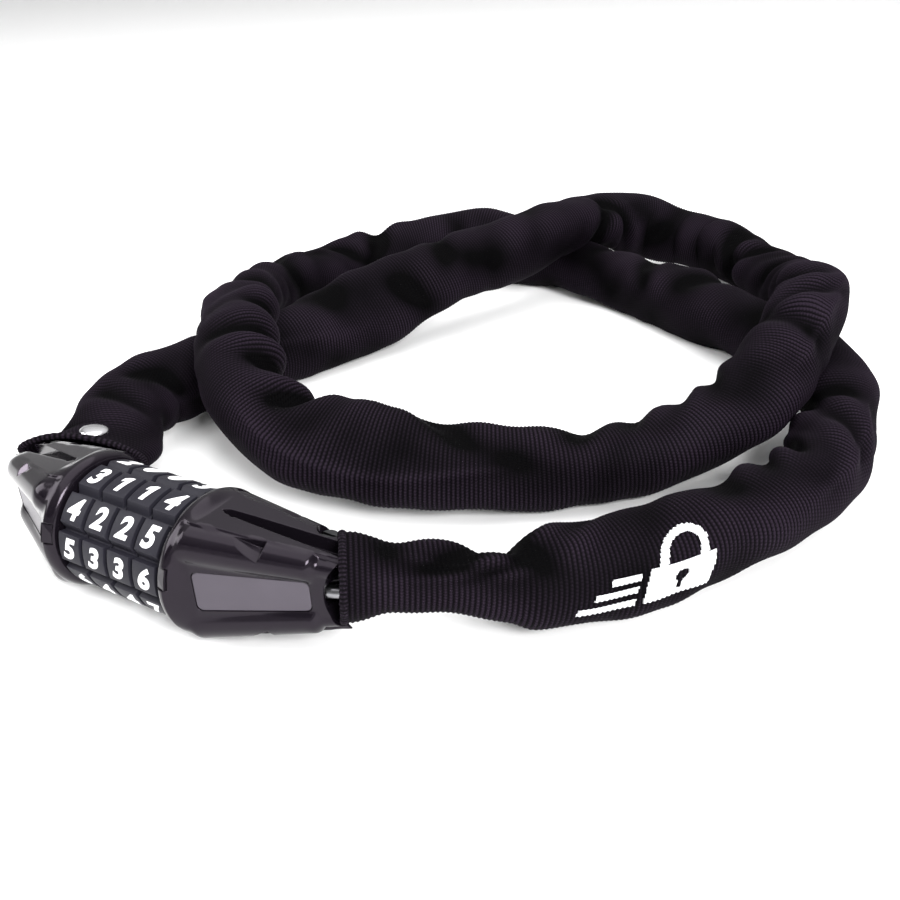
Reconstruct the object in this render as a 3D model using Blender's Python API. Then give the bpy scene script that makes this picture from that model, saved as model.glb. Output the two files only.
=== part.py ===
"""A four-dial chain lock: a boxy combination body, a sleeved square-link chain and a pull-out plug.

Lengths are in millimetres in the tables and functions, and metres in Blender. The origin is under the
middle of the lock body, +X runs along the dial axis towards the plug, +Y away from the dials' front.
"""

import math

import bmesh
import bpy
from mathutils import Vector

MM = 0.001
AXIS_Z = 16.5            # height of the dial axis above the floor
FLOOR = -AXIS_Z          # the floor, seen from the dial axis

# Dials
DIAL_CENTRES = (-11.8, -3.93, 3.93, 11.8)
TILE_RADIUS = 15.0
TILE_WIDTH = 6.6
VALLEY_RADIUS = 13.2
RING_RADIUS = 12.9
RING_WIDTH = 7.4
RING_BORE = 9.3
TILE_HALF_ANGLE = 13.5
INDEX_ANGLE = 7.7        # height of the index row above straight ahead, in degrees
TAB_ANGLE = 15.0          # height of the index tabs' middle, in degrees

# Caps, for the right one: stations along X
CAP_BACK = 10.5
FRONT_START = -11.5
FRONT_SLOPE = 0.4408
SHOULDER = 21.5
CAP_POINTS = 48
STATIONS = (21.5, 24.0, 28.6, 33.6, 39.8, 45.8, 47.4, 52.5)
END_CUT_X, END_CUT_RADIUS = 60.3, 12.2
PANEL_DEPTH = 1.1
LINK_PIN_X, LINK_PIN_Y, LINK_PIN_R = 45.0, 4.65, 1.2

# Core and bolt
CORE_BORE, CORE_RADIUS = 4.0, 6.0
SHAFT_RADIUS = 3.6
LUG_TOP, LUG_WIDTH, LUG_THICK = 7.2, 3.0, 1.8

# Chain and sleeve
LINK_WIDTH, LINK_LENGTH, LINK_WIRE = 13.0, 27.0, 3.6
LINK_STEP, RUN_GAP_STEP = 20.0, 18.5
LINKS_PER_RUN = 8
SLEEVE_OUTER, SLEEVE_INNER = 10.5, 9.9
SLEEVE_SIDES = 9
SLEEVE_STEP = 16.8
CUT_Y = 41.0             # where the short left-hand stub parts from the long run

# The chain's way from the right cap round the double coil to the left cap, in millimetres
ROUTE = (
    (51, 8, 16.6), (69, 22, 15), (84, 37, 11), (98, 54, 10.5), (109, 72, 10.5),
    (117, 92, 10.5), (121, 113, 10.5), (121, 135, 10.5), (116, 155, 10.5), (106, 173, 10.5),
    (91, 187, 10.5), (74, 197, 10.5), (57, 206, 10.5), (39, 214, 10.5), (21, 222, 10.5),
    (2, 229, 10.5), (-19, 234, 10.5), (-39, 235, 11), (-58, 230, 11), (-73, 219, 11),
    (-84, 203, 11), (-91, 185, 11), (-94, 166, 13), (-92, 146, 17), (-85, 128, 24),
    (-73, 112, 31), (-61, 97, 34), (-49, 82, 31), (-38, 69, 25), (-25, 58, 20),
    (-9, 53, 16), (9, 54, 14), (28, 60, 12), (46, 69, 11), (62, 80, 11),
    (77, 93, 12), (89, 108, 15), (97, 125, 20), (101, 143, 27), (102, 163, 33),
    (99, 183, 34), (94, 203, 30), (86, 222, 22), (76, 239, 16), (63, 254, 12),
    (48, 265, 11), (32, 270, 13), (16, 268, 18), (3, 259, 25), (-5, 244, 32),
    (-10, 227, 34), (-15, 209, 31), (-22, 193, 25), (-30, 178, 19), (-38, 161, 15),
    (-46, 145, 12), (-52, 127, 10.5), (-58, 107, 10.5), (-62, 85, 10.5), (-63, 63, 12),
    (-59, 40, 15), (-53, 17, 16.6),
)

COLOURS = {
    "body": ((0.012, 0.012, 0.014), 0.0, 0.12),
    "dial": ((0.03, 0.03, 0.036), 0.0, 0.38),
    "brass": ((0.55, 0.42, 0.18), 1.0, 0.3),
    "steel": ((0.55, 0.55, 0.57), 1.0, 0.25),
    "chain": ((0.48, 0.48, 0.5), 1.0, 0.3),
    "sleeve": ((0.015, 0.012, 0.017), 0.0, 0.85),
    "plate": ((0.07, 0.065, 0.075), 0.6, 0.3),
}


def clear_scene():
    for obj in list(bpy.data.objects):
        bpy.data.objects.remove(obj, do_unlink=True)


def make_materials():
    made = {}
    for name, (colour, metallic, roughness) in COLOURS.items():
        material = bpy.data.materials.new(name)
        material.use_nodes = True
        shader = material.node_tree.nodes["Principled BSDF"]
        shader.inputs["Base Color"].default_value = (*colour, 1)
        shader.inputs["Metallic"].default_value = metallic
        shader.inputs["Roughness"].default_value = roughness
        made[name] = material
    return made


def add_mesh(name, points, faces, material=None, pivot=(0.0, 0.0, 0.0)):
    """A mesh object from millimetre points, with its origin at pivot and its normals outwards."""
    shape = bmesh.new()
    corner = Vector(pivot)
    corners = [shape.verts.new((Vector(p) - corner) * MM) for p in points]
    for face in faces:
        shape.faces.new([corners[i] for i in face])
    bmesh.ops.recalc_face_normals(shape, faces=shape.faces[:])
    mesh = bpy.data.meshes.new(name)
    shape.to_mesh(mesh)
    shape.free()
    obj = bpy.data.objects.new(name, mesh)
    obj.location = corner * MM
    if material:
        mesh.materials.append(MATERIALS[material])
    bpy.context.collection.objects.link(obj)
    return obj


def loft(sections, ring=False):
    """Points and faces of a skin over loops with the same number of points."""
    size = len(sections[0])
    points = [p for section in sections for p in section]
    faces = []
    last = len(sections) if ring else len(sections) - 1
    for k in range(last):
        low = k * size
        high = (k + 1) % len(sections) * size
        for i in range(size):
            j = (i + 1) % size
            faces.append((low + i, low + j, high + j, high + i))
    if not ring:
        faces.append(tuple(range(size))[::-1])
        faces.append(tuple(range(len(points) - size, len(points))))
    return points, faces


def circle(radius, x, sides, centre=(0.0, 0.0)):
    """A circle about the dial axis in the plane of x."""
    turn = 2 * math.pi / sides
    return [
        (x, centre[0] + radius * math.cos(i * turn), AXIS_Z + centre[1] + radius * math.sin(i * turn))
        for i in range(sides)
    ]


def revolve(name, profile, material, sides=32, pivot=(0.0, 0.0, 0.0), solid=False):
    """A ring from a closed profile of (x, radius), or a solid one with flat ends."""
    sections = [circle(radius, x, sides) for x, radius in profile]
    return add_mesh(name, *loft(sections, ring=not solid), material, pivot)


def prism(name, outline, low, high, material=None, pivot=(0.0, 0.0, 0.0)):
    """Extrudes an (x, y) outline upwards; low and high are heights from the dial axis or functions of x."""
    bottom = [(x, y, AXIS_Z + (low(x) if callable(low) else low)) for x, y in outline]
    top = [(x, y, AXIS_Z + (high(x) if callable(high) else high)) for x, y in outline]
    return add_mesh(name, *loft([bottom, top]), material, pivot)


def box(name, x, y, z, material=None):
    """A box from (low, high) pairs; z is measured from the dial axis."""
    outline = [(x[0], y[0]), (x[1], y[0]), (x[1], y[1]), (x[0], y[1])]
    return prism(name, outline, z[0], z[1], material)


def post(name, x, y, radius, low, high, material=None, sides=20):
    """An upright round bar."""
    turn = 2 * math.pi / sides
    outline = [(x + radius * math.cos(i * turn), y + radius * math.sin(i * turn)) for i in range(sides)]
    return prism(name, outline, low, high, material)


def combine(obj, other, operation="DIFFERENCE"):
    other.hide_render = True
    other.display_type = "WIRE"
    modifier = obj.modifiers.new(other.name, "BOOLEAN")
    modifier.object = other
    modifier.operation = operation
    modifier.solver = "EXACT"
    return obj


# ---------------------------------------------------------------- caps


def along(x, start, end):
    """A value that changes evenly from the shoulder to the cap's end; x is unsigned."""
    share = (x - SHOULDER) / (STATIONS[-1] - SHOULDER)
    return start + (end - start) * share


def cap_front(x):
    return FRONT_START + FRONT_SLOPE * (x - SHOULDER)


def cap_middle(x):
    return (cap_front(x) + CAP_BACK) / 2


def cap_half_height(x):
    return along(x, 14.9, 8.7)


def in_rectangle(angle, low, high, half):
    """How far a ray from the origin runs inside a rectangle of y from low to high and z from -half to half."""
    y, z = math.cos(angle), math.sin(angle)
    reach = [half / abs(z)] if abs(z) > 1e-6 else []
    if y > 1e-6:
        reach.append(high / y)
    if y < -1e-6:
        reach.append(low / y)
    return min(reach)


def in_circle(angle, y, z, radius):
    """How far the same ray runs before it leaves a circle, or 0 if it misses."""
    ahead = y * math.cos(angle) + z * math.sin(angle)
    off_squared = y * y + z * z - ahead * ahead
    if ahead <= 0 or off_squared > radius * radius:
        return 0.0
    return ahead + math.sqrt(radius * radius - off_squared)


def boxy_section(x, side):
    """The cap's outline at x: a box with a round barrel along each of its four edges."""
    middle = cap_middle(x)
    half_width = CAP_BACK - middle
    inset = along(x, 4.0, 1.5)
    barrel = along(x, 4.7, 3.2) - (1.2 if x > 46.5 else 0.0)
    height = along(x, 9.6, 5.6)
    points = []
    for i in range(CAP_POINTS):
        angle = 2 * math.pi * i / CAP_POINTS
        reach = max(
            in_rectangle(angle, -half_width, half_width, height),
            in_rectangle(angle, inset - half_width, half_width - inset, cap_half_height(x)),
            max(
                in_circle(angle, y * (half_width - inset), z * height, barrel)
                for y in (-1, 1)
                for z in (-1, 1)
            ),
        )
        points.append((side * x, middle + reach * math.cos(angle), AXIS_Z + reach * math.sin(angle)))
    return points


def cap_body(name, side):
    """A round collar beside the dials that turns into the tapering boxy grip."""
    sections = [circle(r, side * x, CAP_POINTS) for x, r in ((16.3, 15.2), (17.0, 16.0), (18.5, 16.5))]
    boxy = boxy_section(SHOULDER, side)
    for x, radius, share in ((19.4, 16.4, 0.25), (20.5, 16.3, 0.7)):
        rim = circle(radius, side * x, CAP_POINTS)
        sections.append(
            [
                (a[0], a[1] * (1 - share) + b[1] * share, a[2] * (1 - share) + b[2] * share)
                for a, b in zip(rim, boxy)
            ]
        )
    sections += [boxy_section(x, side) for x in STATIONS]
    return add_mesh(name, *loft(sections), "body")


def end_cut(name, side):
    """A cylinder along Y that leaves the cap's end hollowed between two prongs."""
    sides = 40
    loops = []
    for y in (-20.0, 20.0):
        loops.append(
            [
                (
                    side * (END_CUT_X + END_CUT_RADIUS * math.cos(2 * math.pi * i / sides)),
                    y,
                    AXIS_Z + END_CUT_RADIUS * math.sin(2 * math.pi * i / sides),
                )
                for i in range(sides)
            ]
        )
    return add_mesh(name, *loft(loops))


def groove_cut(name, side, up):
    """The narrow groove along the cap's top or bottom, pointed at the dials' end."""
    outline = [(21.0, -0.6)]
    outline += [(x, cap_middle(x) - 1.2) for x in (23.0, 54.0)]
    outline += [(x, cap_middle(x) + 1.2) for x in (54.0, 23.0)]
    outline = [(side * x, y) for x, y in outline]

    def near(x):
        return up * (cap_half_height(abs(x)) - 3.0)

    def far(x):
        return up * (cap_half_height(abs(x)) + 4.0)

    return prism(name, outline, min(near, far, key=lambda f: f(30)), max(near, far, key=lambda f: f(30)))


def panel_frame(front):
    """Start, direction and outward normal of the flat face that holds a panel, in plan."""
    if not front:
        return (SHOULDER, CAP_BACK), (1.0, 0.0), (0.0, 1.0)
    angle = math.atan(FRONT_SLOPE)
    direction = (math.cos(angle), math.sin(angle))
    return (SHOULDER, FRONT_START), direction, (direction[1], -direction[0])


def panel_solid(name, side, front, inset, deep, shallow, material=None):
    """A rounded plate or its cutter, between two depths under the face."""
    start, direction, normal = panel_frame(front)
    near, far = 0.9 + inset, (26.4 if front else 17.2) - inset
    corner = 1.4
    corners = (
        (near + corner, 5.0 - inset - corner, 90),
        (far - corner, (3.8 if front else 4.2) - inset - corner, 0),
        (far - corner, -((3.8 if front else 4.2) - inset - corner), -90),
        (near + corner, -(5.0 - inset - corner), -180),
    )
    loops = []
    for depth in (deep, shallow):
        loop = []
        for run, height, first in corners:
            for step in (90, 45, 0):
                turn = math.radians(first + step)
                reach = run + corner * math.cos(turn)
                loop.append(
                    (
                        side * (start[0] + direction[0] * reach - normal[0] * depth),
                        start[1] + direction[1] * reach - normal[1] * depth,
                        AXIS_Z + height + corner * math.sin(turn),
                    )
                )
        loops.append(loop)
    return add_mesh(name, *loft(loops), material)


def triangle_cut(name, side, back, up):
    """The three-cornered pocket in one of the barrels."""
    diagonal = (back * math.sqrt(0.5), up * math.sqrt(0.5))
    across = (-diagonal[0], diagonal[1])
    loops = []
    for lift in (-1.45, 4.0):
        loop = []
        for x, offset in ((27.7, 2.5), (37.3, 3.1), (36.7, -2.7)):
            half_width = CAP_BACK - cap_middle(x)
            inset = along(x, 4.0, 1.5)
            reach = along(x, 4.7, 3.2) + lift
            loop.append(
                (
                    side * x,
                    cap_middle(x) + back * (half_width - inset) + diagonal[0] * reach + across[0] * offset,
                    AXIS_Z + up * along(x, 9.6, 5.6) + diagonal[1] * reach + across[1] * offset,
                )
            )
        loops.append(loop)
    return add_mesh(name, *loft(loops))


def bore_cut(name, profile, side):
    """A stepped round hole along the dial axis."""
    sections = [circle(radius, side * x, 32) for x, radius in profile]
    return add_mesh(name, *loft(sections))


def index_tab(name, side, gap, low, high, material=None):
    """The small rectangle on the collar that marks the row to read, or its pocket."""
    angle = math.radians(TAB_ANGLE)
    out = (-math.cos(angle), math.sin(angle))
    up = (math.sin(angle), math.cos(angle))
    loops = []
    for radius in (low, high):
        loops.append(
            [
                (side * x, out[0] * radius + up[0] * z, AXIS_Z + out[1] * radius + up[1] * z)
                for x, z in (
                    (16.9 - gap, -2.6 - gap),
                    (19.0 + gap, -2.6 - gap),
                    (19.0 + gap, 2.6 + gap),
                    (16.9 - gap, 2.6 + gap),
                )
            ]
        )
    return add_mesh(name, *loft(loops), material)


def make_cap(word, side, bore, pin_x, pin_y):
    """One cap with its cuts, the inlaid plates, the index tab, the screw and the two pins."""
    cap = cap_body(word + "_cap", side)
    combine(cap, end_cut("cut_end_" + word, side))
    combine(cap, groove_cut("cut_groove_top_" + word, side, 1))
    combine(cap, groove_cut("cut_groove_bottom_" + word, side, -1))
    for front, label in ((True, "front"), (False, "back")):
        combine(cap, panel_solid(f"cut_{label}_{word}", side, front, 0.0, PANEL_DEPTH, -3.0))
        panel_solid(f"{word}_{label}_plate", side, front, 0.25, PANEL_DEPTH - 0.1, 0.45, "plate")
    for back in (-1, 1):
        for up in (-1, 1):
            combine(cap, triangle_cut(f"cut_triangle_{word}_{back}_{up}", side, back, up))
    combine(cap, bore_cut("cut_bore_" + word, bore, side))
    combine(cap, index_tab("cut_index_" + word, side, 0.2, 15.6, 20.0))
    index_tab(word + "_index_mark", side, 0.0, 15.75, 16.7, "body")
    x = sorted((side * 45.5, side * 60.0))
    combine(cap, box("cut_slot_" + word, x, (0.9, 20), (-2.5, 2.5)))
    combine(cap, post("cut_eye_" + word, side * LINK_PIN_X, LINK_PIN_Y, 4.85, -1.9, 1.9, sides=24))
    x = sorted((side * 39.9, side * 60.0))
    combine(cap, box("cut_mouth_" + word, x, (LINK_PIN_Y, 20), (-1.9, 1.9)))
    hole = post("cut_pin_" + word, side * LINK_PIN_X, LINK_PIN_Y, LINK_PIN_R + 0.1, -20, 20)
    combine(cap, hole)
    post(word + "_link_pin", side * LINK_PIN_X, LINK_PIN_Y, LINK_PIN_R, -6.4, 6.4, "steel")
    combine(cap, post("cut_cross_" + word, side * pin_x, pin_y, 1.1, -20, 20, sides=16))
    post(word + "_cross_pin", side * pin_x, pin_y, 0.9, -11.0, 11.0, "steel", sides=12)
    combine(cap, post("cut_screw_head_" + word, side * 43.9, 9.6, 2.8, 7.5, 20.0))
    combine(cap, post("cut_screw_" + word, side * 43.9, 8.6, 1.2, 3.2, 9.0, sides=16))
    screw = post(word + "_cap_screw", side * 43.9, 8.6, 1.0, 3.6, 8.5, "steel", sides=16)
    combine(screw, post("head_" + word, side * 43.9, 9.0, 2.0, 7.8, 9.2), "UNION")
    combine(screw, box("cut_driver_" + word, sorted((side * 40.0, side * 48.0)), (8.6, 9.4), (8.6, 10.0)))


# ---------------------------------------------------------------- dials and mechanism


def dial_outline(x):
    """Ten flat-topped tiles; below each, a ramp runs down to a step against the next tile."""
    points = []
    for k in range(10):
        middle = INDEX_ANGLE + 36 * k
        steps = [(middle + s, TILE_RADIUS) for s in (-TILE_HALF_ANGLE, -4.5, 4.5, TILE_HALF_ANGLE)]
        steps.append((middle + TILE_HALF_ANGLE + 1.2, VALLEY_RADIUS))
        for degrees, radius in steps:
            angle = math.radians(degrees)
            points.append((x, -radius * math.cos(angle), AXIS_Z + radius * math.sin(angle)))
    return points


def scaled_outline(x, radius):
    """A circle with the same corners as the tiled outline."""
    points = []
    for _, y, z in dial_outline(x):
        angle = math.atan2(z - AXIS_Z, y)
        points.append((x, radius * math.cos(angle), AXIS_Z + radius * math.sin(angle)))
    return points


def make_dial(number, x):
    half, tile = RING_WIDTH / 2, TILE_WIDTH / 2
    pivot = (x, 0, AXIS_Z)
    sections = [
        scaled_outline(x - half, RING_BORE),
        scaled_outline(x - half, RING_RADIUS),
        scaled_outline(x - tile - 0.1, RING_RADIUS),
        dial_outline(x - tile),
        dial_outline(x + tile),
        scaled_outline(x + tile + 0.1, RING_RADIUS),
        scaled_outline(x + half, RING_RADIUS),
        scaled_outline(x + half, RING_BORE),
    ]
    dial = add_mesh(f"dial_ring_{number}", *loft(sections, ring=True), "dial", pivot)
    combine(dial, box(f"cut_keyway_{number}", (x - 9, x + 9), (-10.9, -7.0), (-1.6, 1.6)))
    profile = ((-3.6, 6.3), (-1.3, 6.3), (-1.3, 7.7), (1.3, 7.7), (1.3, 6.3), (3.6, 6.3), (3.6, 9.0), (-3.6, 9.0))
    code = revolve(f"code_ring_{number}", [(x + a, r) for a, r in profile], "brass", 30, pivot)
    combine(code, box(f"key_{number}", (x - 2.5, x + 2.5), (-10.4, -8.4), (-1.2, 1.2)), "UNION")
    combine(code, box(f"cut_gate_{number}", (x - 9, x + 9), (5.0, 7.75), (-1.9, 1.9)))


def make_core():
    """The slotted tube that the code rings turn on, fixed in the left cap."""
    profile = (
        (-27.5, 0.6), (-27.5, CORE_RADIUS), (16.7, CORE_RADIUS), (16.7, 5.3), (17.9, 5.3),
        (17.9, CORE_RADIUS), (21.0, CORE_RADIUS), (21.0, CORE_BORE), (-26.0, CORE_BORE), (-26.0, 0.6),
    )
    core = revolve("core_tube", profile, "steel", 28)
    combine(core, box("cut_core_slot", (-13.5, 24.0), (0.0, 9.0), (-1.7, 1.7)))
    combine(core, box("cut_spring_seat", (-16.0, 16.0), (-9.0, -5.0), (-1.6, 1.6)))
    combine(core, post("cut_core_pin", -24.6, 0.1, 1.1, -9, 9, sides=16))


def make_bolt():
    """The shaft on the plug, with one lug for each code ring."""
    profile = ((-15.2, 2.8), (-14.4, SHAFT_RADIUS), (30.0, SHAFT_RADIUS))
    bolt = revolve("bolt", profile, "steel", 28, solid=True)
    for number, x in enumerate(DIAL_CENTRES, 1):
        lug = box(
            f"lug_{number}",
            (x - LUG_THICK / 2, x + LUG_THICK / 2),
            (1.0, LUG_TOP),
            (-LUG_WIDTH / 2, LUG_WIDTH / 2),
        )
        combine(bolt, lug, "UNION")
    combine(bolt, post("cut_bolt_pin", 26.0, 0.3, 1.1, -9, 9, sides=16))


def make_washer(name, low, high, inner, outer, gate):
    washer = revolve(name, ((low, inner), (low, outer), (high, outer), (high, inner)), "steel", 30)
    combine(washer, box("cut_" + name, (low - 2, high + 2), (0.0, gate), (-1.9, 1.9)))


def make_click_spring():
    """A leaf with one dome for each code ring, lying in the core's front."""
    stations = [(-15.2, -5.6)]
    for x in DIAL_CENTRES:
        stations += [(x - 1.4, -5.6), (x, -5.88), (x + 1.4, -5.6)]
    stations.append((15.2, -5.6))
    loops = []
    for x, y in stations:
        loops.append([(x, y + a, AXIS_Z + b) for a, b in ((-0.15, -1.1), (0.15, -1.1), (0.15, 1.1), (-0.15, 1.1))])
    add_mesh("click_spring", *loft(loops), "steel")


def make_eject_spring():
    """A coil in the core's bore that pushes the bolt out when the dials are set."""
    turns, steps, sides = 4, 11, 5
    loops = []
    for k in range(turns * steps + 1):
        angle = 2 * math.pi * k / steps
        x = -22.9 + 6.9 * k / (turns * steps)
        out = Vector((0, math.cos(angle), math.sin(angle)))
        centre = Vector((x, 0, AXIS_Z)) + out * 2.7
        loops.append(
            [
                tuple(centre + (out * math.cos(t) + Vector((1, 0, 0)) * math.sin(t)) * 0.45)
                for t in (2 * math.pi * i / sides for i in range(sides))
            ]
        )
    add_mesh("eject_spring", *loft(loops), "steel")


# ---------------------------------------------------------------- chain and sleeve


def smooth_route():
    """Points about 1 mm apart on a uniform cubic B-spline through the route."""
    knots = [Vector(p) for p in ROUTE]
    knots = [knots[0] * 2 - knots[1]] + knots + [knots[-1] * 2 - knots[-2]]
    fine = []
    for k in range(len(knots) - 3):
        a, b, c, d = knots[k : k + 4]
        for i in range(20):
            t = i / 20
            fine.append(
                (
                    a * (1 - t) ** 3
                    + b * (3 * t**3 - 6 * t**2 + 4)
                    + c * (-3 * t**3 + 3 * t**2 + 3 * t + 1)
                    + d * t**3
                )
                / 6
            )
    fine.append(knots[-2].copy())
    return fine


class Path:
    """A curve that can be read by the distance along it."""

    def __init__(self, points):
        self.points = points
        self.runs = [0.0]
        for a, b in zip(points, points[1:]):
            self.runs.append(self.runs[-1] + (b - a).length)
        self.length = self.runs[-1]

    def at(self, run):
        run = min(max(run, 0.0), self.length)
        low, high = 0, len(self.runs) - 1
        while high - low > 1:
            middle = (low + high) // 2
            if self.runs[middle] <= run:
                low = middle
            else:
                high = middle
        share = (run - self.runs[low]) / (self.runs[high] - self.runs[low])
        return self.points[low].lerp(self.points[high], share)

    def ahead(self, run):
        return (self.at(run + 1.0) - self.at(run - 1.0)).normalized()

    def run_at_y(self, y):
        """Distance along to the last place where the curve passes y."""
        for k in range(len(self.points) - 1, 0, -1):
            if self.points[k - 1].y >= y > self.points[k].y:
                return self.runs[k]
        return self.length


def frame_of(ahead):
    """Sideways and upward directions square to the way ahead."""
    side = ahead.cross(Vector((0, 0, 1))).normalized()
    return side, side.cross(ahead).normalized()


def tube_loop(centre, ahead, radius, sides):
    side, up = frame_of(ahead)
    loop = []
    for i in range(sides):
        angle = 2 * math.pi * (i + 0.5) / sides - math.pi / 2
        loop.append(tuple(centre + side * (radius * math.cos(angle)) + up * (radius * math.sin(angle))))
    return loop


def make_sleeve(name, path, start, end, square_start=False, square_end=False):
    """A hollow length of the fabric tube. A squared end is cut in a plane of constant y."""
    count = max(2, round((end - start) / SLEEVE_STEP) + 1)
    outer, inner = [], []
    for k in range(count):
        run = start + (end - start) * k / (count - 1)
        ahead = path.ahead(run)
        square = (k == 0 and square_start) or (k == count - 1 and square_end)
        if square:
            ahead = Vector((0, -1, 0))
        outer.append(tube_loop(path.at(run), ahead, SLEEVE_OUTER, SLEEVE_SIDES))
        inner.append(tube_loop(path.at(run), ahead, SLEEVE_INNER, SLEEVE_SIDES))
    return add_mesh(name, *loft(outer + inner[::-1], ring=True), "sleeve")


SQUARE_BOW = ((-90, 1.0), (-40, 1.18), (40, 1.18), (90, 1.0))
ROUND_BOW = tuple((30 * k - 90, 1.0) for k in range(7))


def link_loops(near, far, distance, wire, thick, bow):
    """Four loops round a flat link: two bows of outer radius near and far, their centres distance apart."""
    loops = []
    for shrink, lift in ((0.0, -0.5), (0.0, 0.5), (wire, 0.5), (wire, -0.5)):
        loop = []
        for centre, radius, first in ((distance / 2, far, -90), (-distance / 2, near, 90)):
            for degrees, stretch in bow:
                turn = math.radians(first + 90 + degrees)
                reach = (radius - shrink) * stretch
                loop.append((centre + reach * math.cos(turn), reach * math.sin(turn), lift * thick))
        loops.append(loop)
    return loops


def placed(loops, centre, ahead, upright):
    side, up = frame_of(ahead)
    if upright:
        side, up = up, -side
    return [[tuple(centre + ahead * x + side * y + up * z) for x, y, z in loop] for loop in loops]


def joined(parts):
    """One list of points and faces from several."""
    points, faces = [], []
    for more_points, more_faces in parts:
        faces += [tuple(i + len(points) for i in face) for face in more_faces]
        points += more_points
    return points, faces


def link_at(path, run, upright):
    half = LINK_STEP / 2
    a, b = path.at(run - half), path.at(run + half)
    radius = LINK_WIDTH / 2
    loops = link_loops(radius, radius, LINK_LENGTH - LINK_WIDTH, LINK_WIRE, LINK_WIRE, SQUARE_BOW)
    return loft(placed(loops, (a + b) / 2, (b - a).normalized(), upright), ring=True)


def make_run(name, path, first, count, upright):
    """Several links in one body: the odd ones, joined with the even ones where they touch."""
    halves = ([], [])
    for i in range(count):
        halves[i % 2].append(link_at(path, first + i * LINK_STEP, upright ^ (i % 2 == 1)))
    run = add_mesh(name, *joined(halves[0]), "chain")
    if halves[1]:
        combine(run, add_mesh("even_" + name, *joined(halves[1])), "UNION")


def make_end_link(name, pin, heading):
    """The flat pear-shaped link that the pin holds in the cap."""
    ahead = Vector((math.cos(heading), math.sin(heading), 0))
    loops = link_loops(4.4, 6.9, 13.0, 3.0, 3.0, ROUND_BOW)
    centre = Vector((pin[0], pin[1], AXIS_Z)) + ahead * 6.5
    add_mesh(name, *loft(placed(loops, centre, ahead, False), ring=True), "steel")


def make_cuff(name, path, run, step, low, high, flare=None):
    """The stitched hem round the sleeve's end; flare gives the half width and height of an open mouth."""
    sides = 20
    loops = []
    for radius, where in ((high, run), (high, run + step), (low, run + step), (low, run)):
        ahead = path.ahead(run)
        side, up = frame_of(ahead)
        centre = path.at(run) + ahead * (where - run)
        grown = radius - low
        wide = high_side = radius
        if flare and where == run:
            wide, high_side = flare[0] + grown, flare[1] + grown
        loops.append(
            [
                tuple(centre + side * (wide * math.cos(t)) + up * (high_side * math.sin(t)))
                for t in (2 * math.pi * i / sides for i in range(sides))
            ]
        )
    return add_mesh(name, *loft(loops, ring=True), "sleeve")


def make_chain():
    fine = smooth_route()
    right_pin = Vector((LINK_PIN_X, LINK_PIN_Y, AXIS_Z))
    left_pin = Vector((-LINK_PIN_X, LINK_PIN_Y, AXIS_Z))
    path = Path(fine)
    right_heading = math.radians(33)
    left_heading = math.radians(121)
    make_end_link("right_end_link", right_pin, right_heading)
    make_end_link("left_end_link", left_pin, left_heading)
    right_tip = right_pin + Vector((math.cos(right_heading), math.sin(right_heading), 0)) * 12.0
    left_tip = left_pin + Vector((math.cos(left_heading), math.sin(left_heading), 0)) * 12.0
    inside = [p for p in fine if (p - right_pin).length > 18 and (p - left_pin).length > 20]
    chain = Path([right_tip] + inside + [left_tip])
    cut = chain.run_at_y(CUT_Y)

    run = LINK_STEP / 2 + 2.8
    number = 1
    upright = True
    while run + LINK_STEP / 2 < cut - 3.0:
        left = int((cut - 3.0 - LINK_STEP / 2 - run) / LINK_STEP) + 1
        count = min(LINKS_PER_RUN, left)
        make_run(f"chain_run_{number}", chain, run, count, upright)
        upright ^= count % 2 == 1
        run += (count - 1) * LINK_STEP + RUN_GAP_STEP
        number += 1
    make_run("chain_stub", chain, chain.length - 12.6, 1, True)

    cut = path.run_at_y(CUT_Y)
    make_sleeve("chain_sleeve", path, 6.0, cut - 0.2, square_end=True)
    make_sleeve("sleeve_stub", path, cut + 0.2, path.length - 8.0, square_start=True)
    make_cuff("right_cuff", path, 6.5, 4.0, SLEEVE_OUTER + 0.3, SLEEVE_OUTER + 1.2)
    cuff = make_cuff(
        "left_cuff", path, path.length, -10.0, SLEEVE_OUTER + 0.5, SLEEVE_OUTER + 1.3, flare=(14.5, 9.0)
    )
    return cuff, path


def make_rivet(cuff, path):
    """A tubular rivet through both layers of the open mouth, beside the chain."""
    ahead = path.ahead(path.length)
    side = frame_of(ahead)[0]
    spot = path.at(path.length) - ahead * 3.2 - side * 8.6
    combine(cuff, post("cut_rivet", spot.x, spot.y, 2.0, -14, 14, sides=16))
    rivet = post("sleeve_rivet", spot.x, spot.y, 1.6, -10.9, 10.5, "steel", sides=16)
    combine(rivet, post("rivet_head", spot.x, spot.y, 2.8, 10.2, 11.1), "UNION")
    turn = 2 * math.pi / 20
    loops = []
    for radius, z in ((2.8, -11.1), (2.8, -10.3), (1.9, -10.3), (1.9, -11.1)):
        loops.append(
            [
                (spot.x + radius * math.cos(i * turn), spot.y + radius * math.sin(i * turn), AXIS_Z + z)
                for i in range(20)
            ]
        )
    add_mesh("rivet_washer", *loft(loops, ring=True), "steel")


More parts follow.
